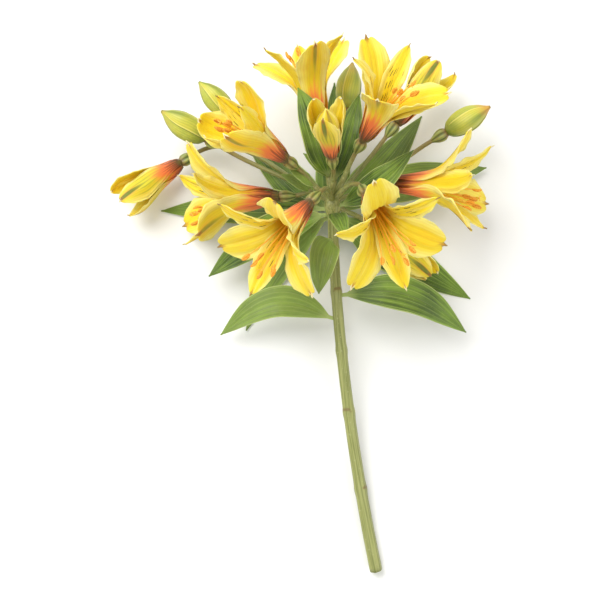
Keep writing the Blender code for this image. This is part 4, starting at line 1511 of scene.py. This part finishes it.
class ALSTROEMERIA_OT_ovaries(bpy.types.Operator):
    """Makes the ribbed green ovary under each bloom and bud"""

    bl_idname = "alstroemeria.ovaries"
    bl_label = "Ovaries"

    def execute(self, context):
        material = ovary_finish(context.scene.alstroemeria_stalk)
        top = -SEAT_GAP / MM
        low = top - OVARY_LENGTH / MM
        parts = []
        for bloom in BLOOMS + HALF_OPEN + BUDS:
            full = OVARY_RADIUS / MM * bloom.size
            profile = (
                (low - 1.0, PEDICEL_RADIUS / MM * 0.95),
                (low + 3.0, full * 0.9),
                (low + 6.0, full),
                (top + 0.3, full * 0.7),
            )
            name, turned = f"{bloom.name}_ovary", bloom_frame(bloom)
            parts.append(turned_body(name, turned, profile, MM, "ovary", self.ribs))
        finish_piece("ovaries", parts, [material], "stalk")
        return {"FINISHED"}

    @staticmethod
    def ribs(angle, along):
        """Six ribs that fade out at both ends."""
        fade = smooth(along * 2.5) * smooth((1.1 - along) * 3)
        return 1 + OVARY_RIB_DEPTH * math.cos(OVARY_RIBS * angle) * fade


class ALSTROEMERIA_OT_stage(bpy.types.Operator):
    """Makes the floor, the lights and the camera"""

    bl_idname = "alstroemeria.stage"
    bl_label = "Studio"

    def execute(self, context):
        settings = context.scene.alstroemeria_studio
        bpy.ops.object.select_all(action="DESELECT")
        bpy.ops.mesh.primitive_circle_add(vertices=96, radius=FLOOR_RADIUS, fill_type="NGON")
        floor = context.object
        floor.name = "floor"
        paint = Finish("floor_paint", 0.9)
        paint.base = settings.floor
        give(floor, [paint.painted()])
        world = context.scene.world or bpy.data.worlds.new("World")
        context.scene.world = world
        world.use_nodes = True
        background = world.node_tree.nodes["Background"]
        background.inputs["Color"].default_value = (1, 1, 1, 1)
        background.inputs["Strength"].default_value = settings.sky
        self.light(context, "key_light", Vector(KEY_PLACE), KEY_SIZE, settings.key_power)
        self.light(context, "fill_light", Vector(FILL_PLACE), FILL_SIZE, settings.fill_power)
        self.camera(context, settings)
        context.scene.view_settings.view_transform = "Standard"
        return {"FINISHED"}

    def light(self, context, name, place, size, power):
        turn = (Vector(LIGHT_AIM) - place).to_track_quat("-Z", "Y").to_euler()
        bpy.ops.object.light_add(type="AREA", radius=size, location=place, rotation=turn)
        lamp = context.object
        lamp.name = name
        lamp.data.shape = "DISK"
        lamp.data.size = size
        lamp.data.energy = power

    def camera(self, context, settings):
        """It looks down on the stem, with the head at the top as in the photograph."""
        low, high = CAD_BOX
        aim = (low + high) / 2
        aim.z = CAMERA_AIM_HEIGHT
        back = Vector((0, -math.cos(settings.elevation), math.sin(settings.elevation)))
        bpy.ops.object.camera_add(location=aim + back * CAMERA_DISTANCE)
        camera = context.object
        camera.name = "camera"
        camera.rotation_euler = (math.pi / 2 - settings.elevation, 0, 0)
        camera.data.lens = settings.lens
        camera.data.clip_start = 0.01
        context.scene.camera = camera


OPERATORS = (
    ALSTROEMERIA_OT_stalk,
    ALSTROEMERIA_OT_ovaries,
    ALSTROEMERIA_OT_leaves,
    ALSTROEMERIA_OT_bracts,
    ALSTROEMERIA_OT_tepals,
    ALSTROEMERIA_OT_stamens,
    ALSTROEMERIA_OT_half_open,
    ALSTROEMERIA_OT_buds,
    ALSTROEMERIA_OT_stage,
)

SETTINGS = {
    "alstroemeria_petals": PetalSettings,
    "alstroemeria_stamens": StamenSettings,
    "alstroemeria_leaves": LeafSettings,
    "alstroemeria_stalk": StalkSettings,
    "alstroemeria_studio": StudioSettings,
}


class ALSTROEMERIA_PT_panel(bpy.types.Panel):
    """Lists the pieces of the stem, in the order in which they are made"""

    bl_idname = "ALSTROEMERIA_PT_panel"
    bl_label = "Alstroemeria stem"
    bl_space_type = "VIEW_3D"
    bl_region_type = "UI"
    bl_category = "Alstroemeria"

    def draw(self, context):
        for operator in OPERATORS:
            self.layout.operator(operator.bl_idname)
        for name, group in SETTINGS.items():
            box = self.layout.box()
            for setting in group.__annotations__:
                box.prop(getattr(context.scene, name), setting)


def register():
    for group in SETTINGS.values():
        bpy.utils.register_class(group)
    for operator in OPERATORS:
        bpy.utils.register_class(operator)
    bpy.utils.register_class(ALSTROEMERIA_PT_panel)
    for name, group in SETTINGS.items():
        setattr(bpy.types.Scene, name, bpy.props.PointerProperty(type=group))


def unregister():
    for name in SETTINGS:
        delattr(bpy.types.Scene, name)
    bpy.utils.unregister_class(ALSTROEMERIA_PT_panel)
    for operator in reversed(OPERATORS):
        bpy.utils.unregister_class(operator)
    for group in reversed(SETTINGS.values()):
        bpy.utils.unregister_class(group)


def main():
    register()
    for operator in OPERATORS:
        group, name = operator.bl_idname.split(".")
        getattr(getattr(bpy.ops, group), name)()
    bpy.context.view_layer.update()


if __name__ == "__main__":
    main()
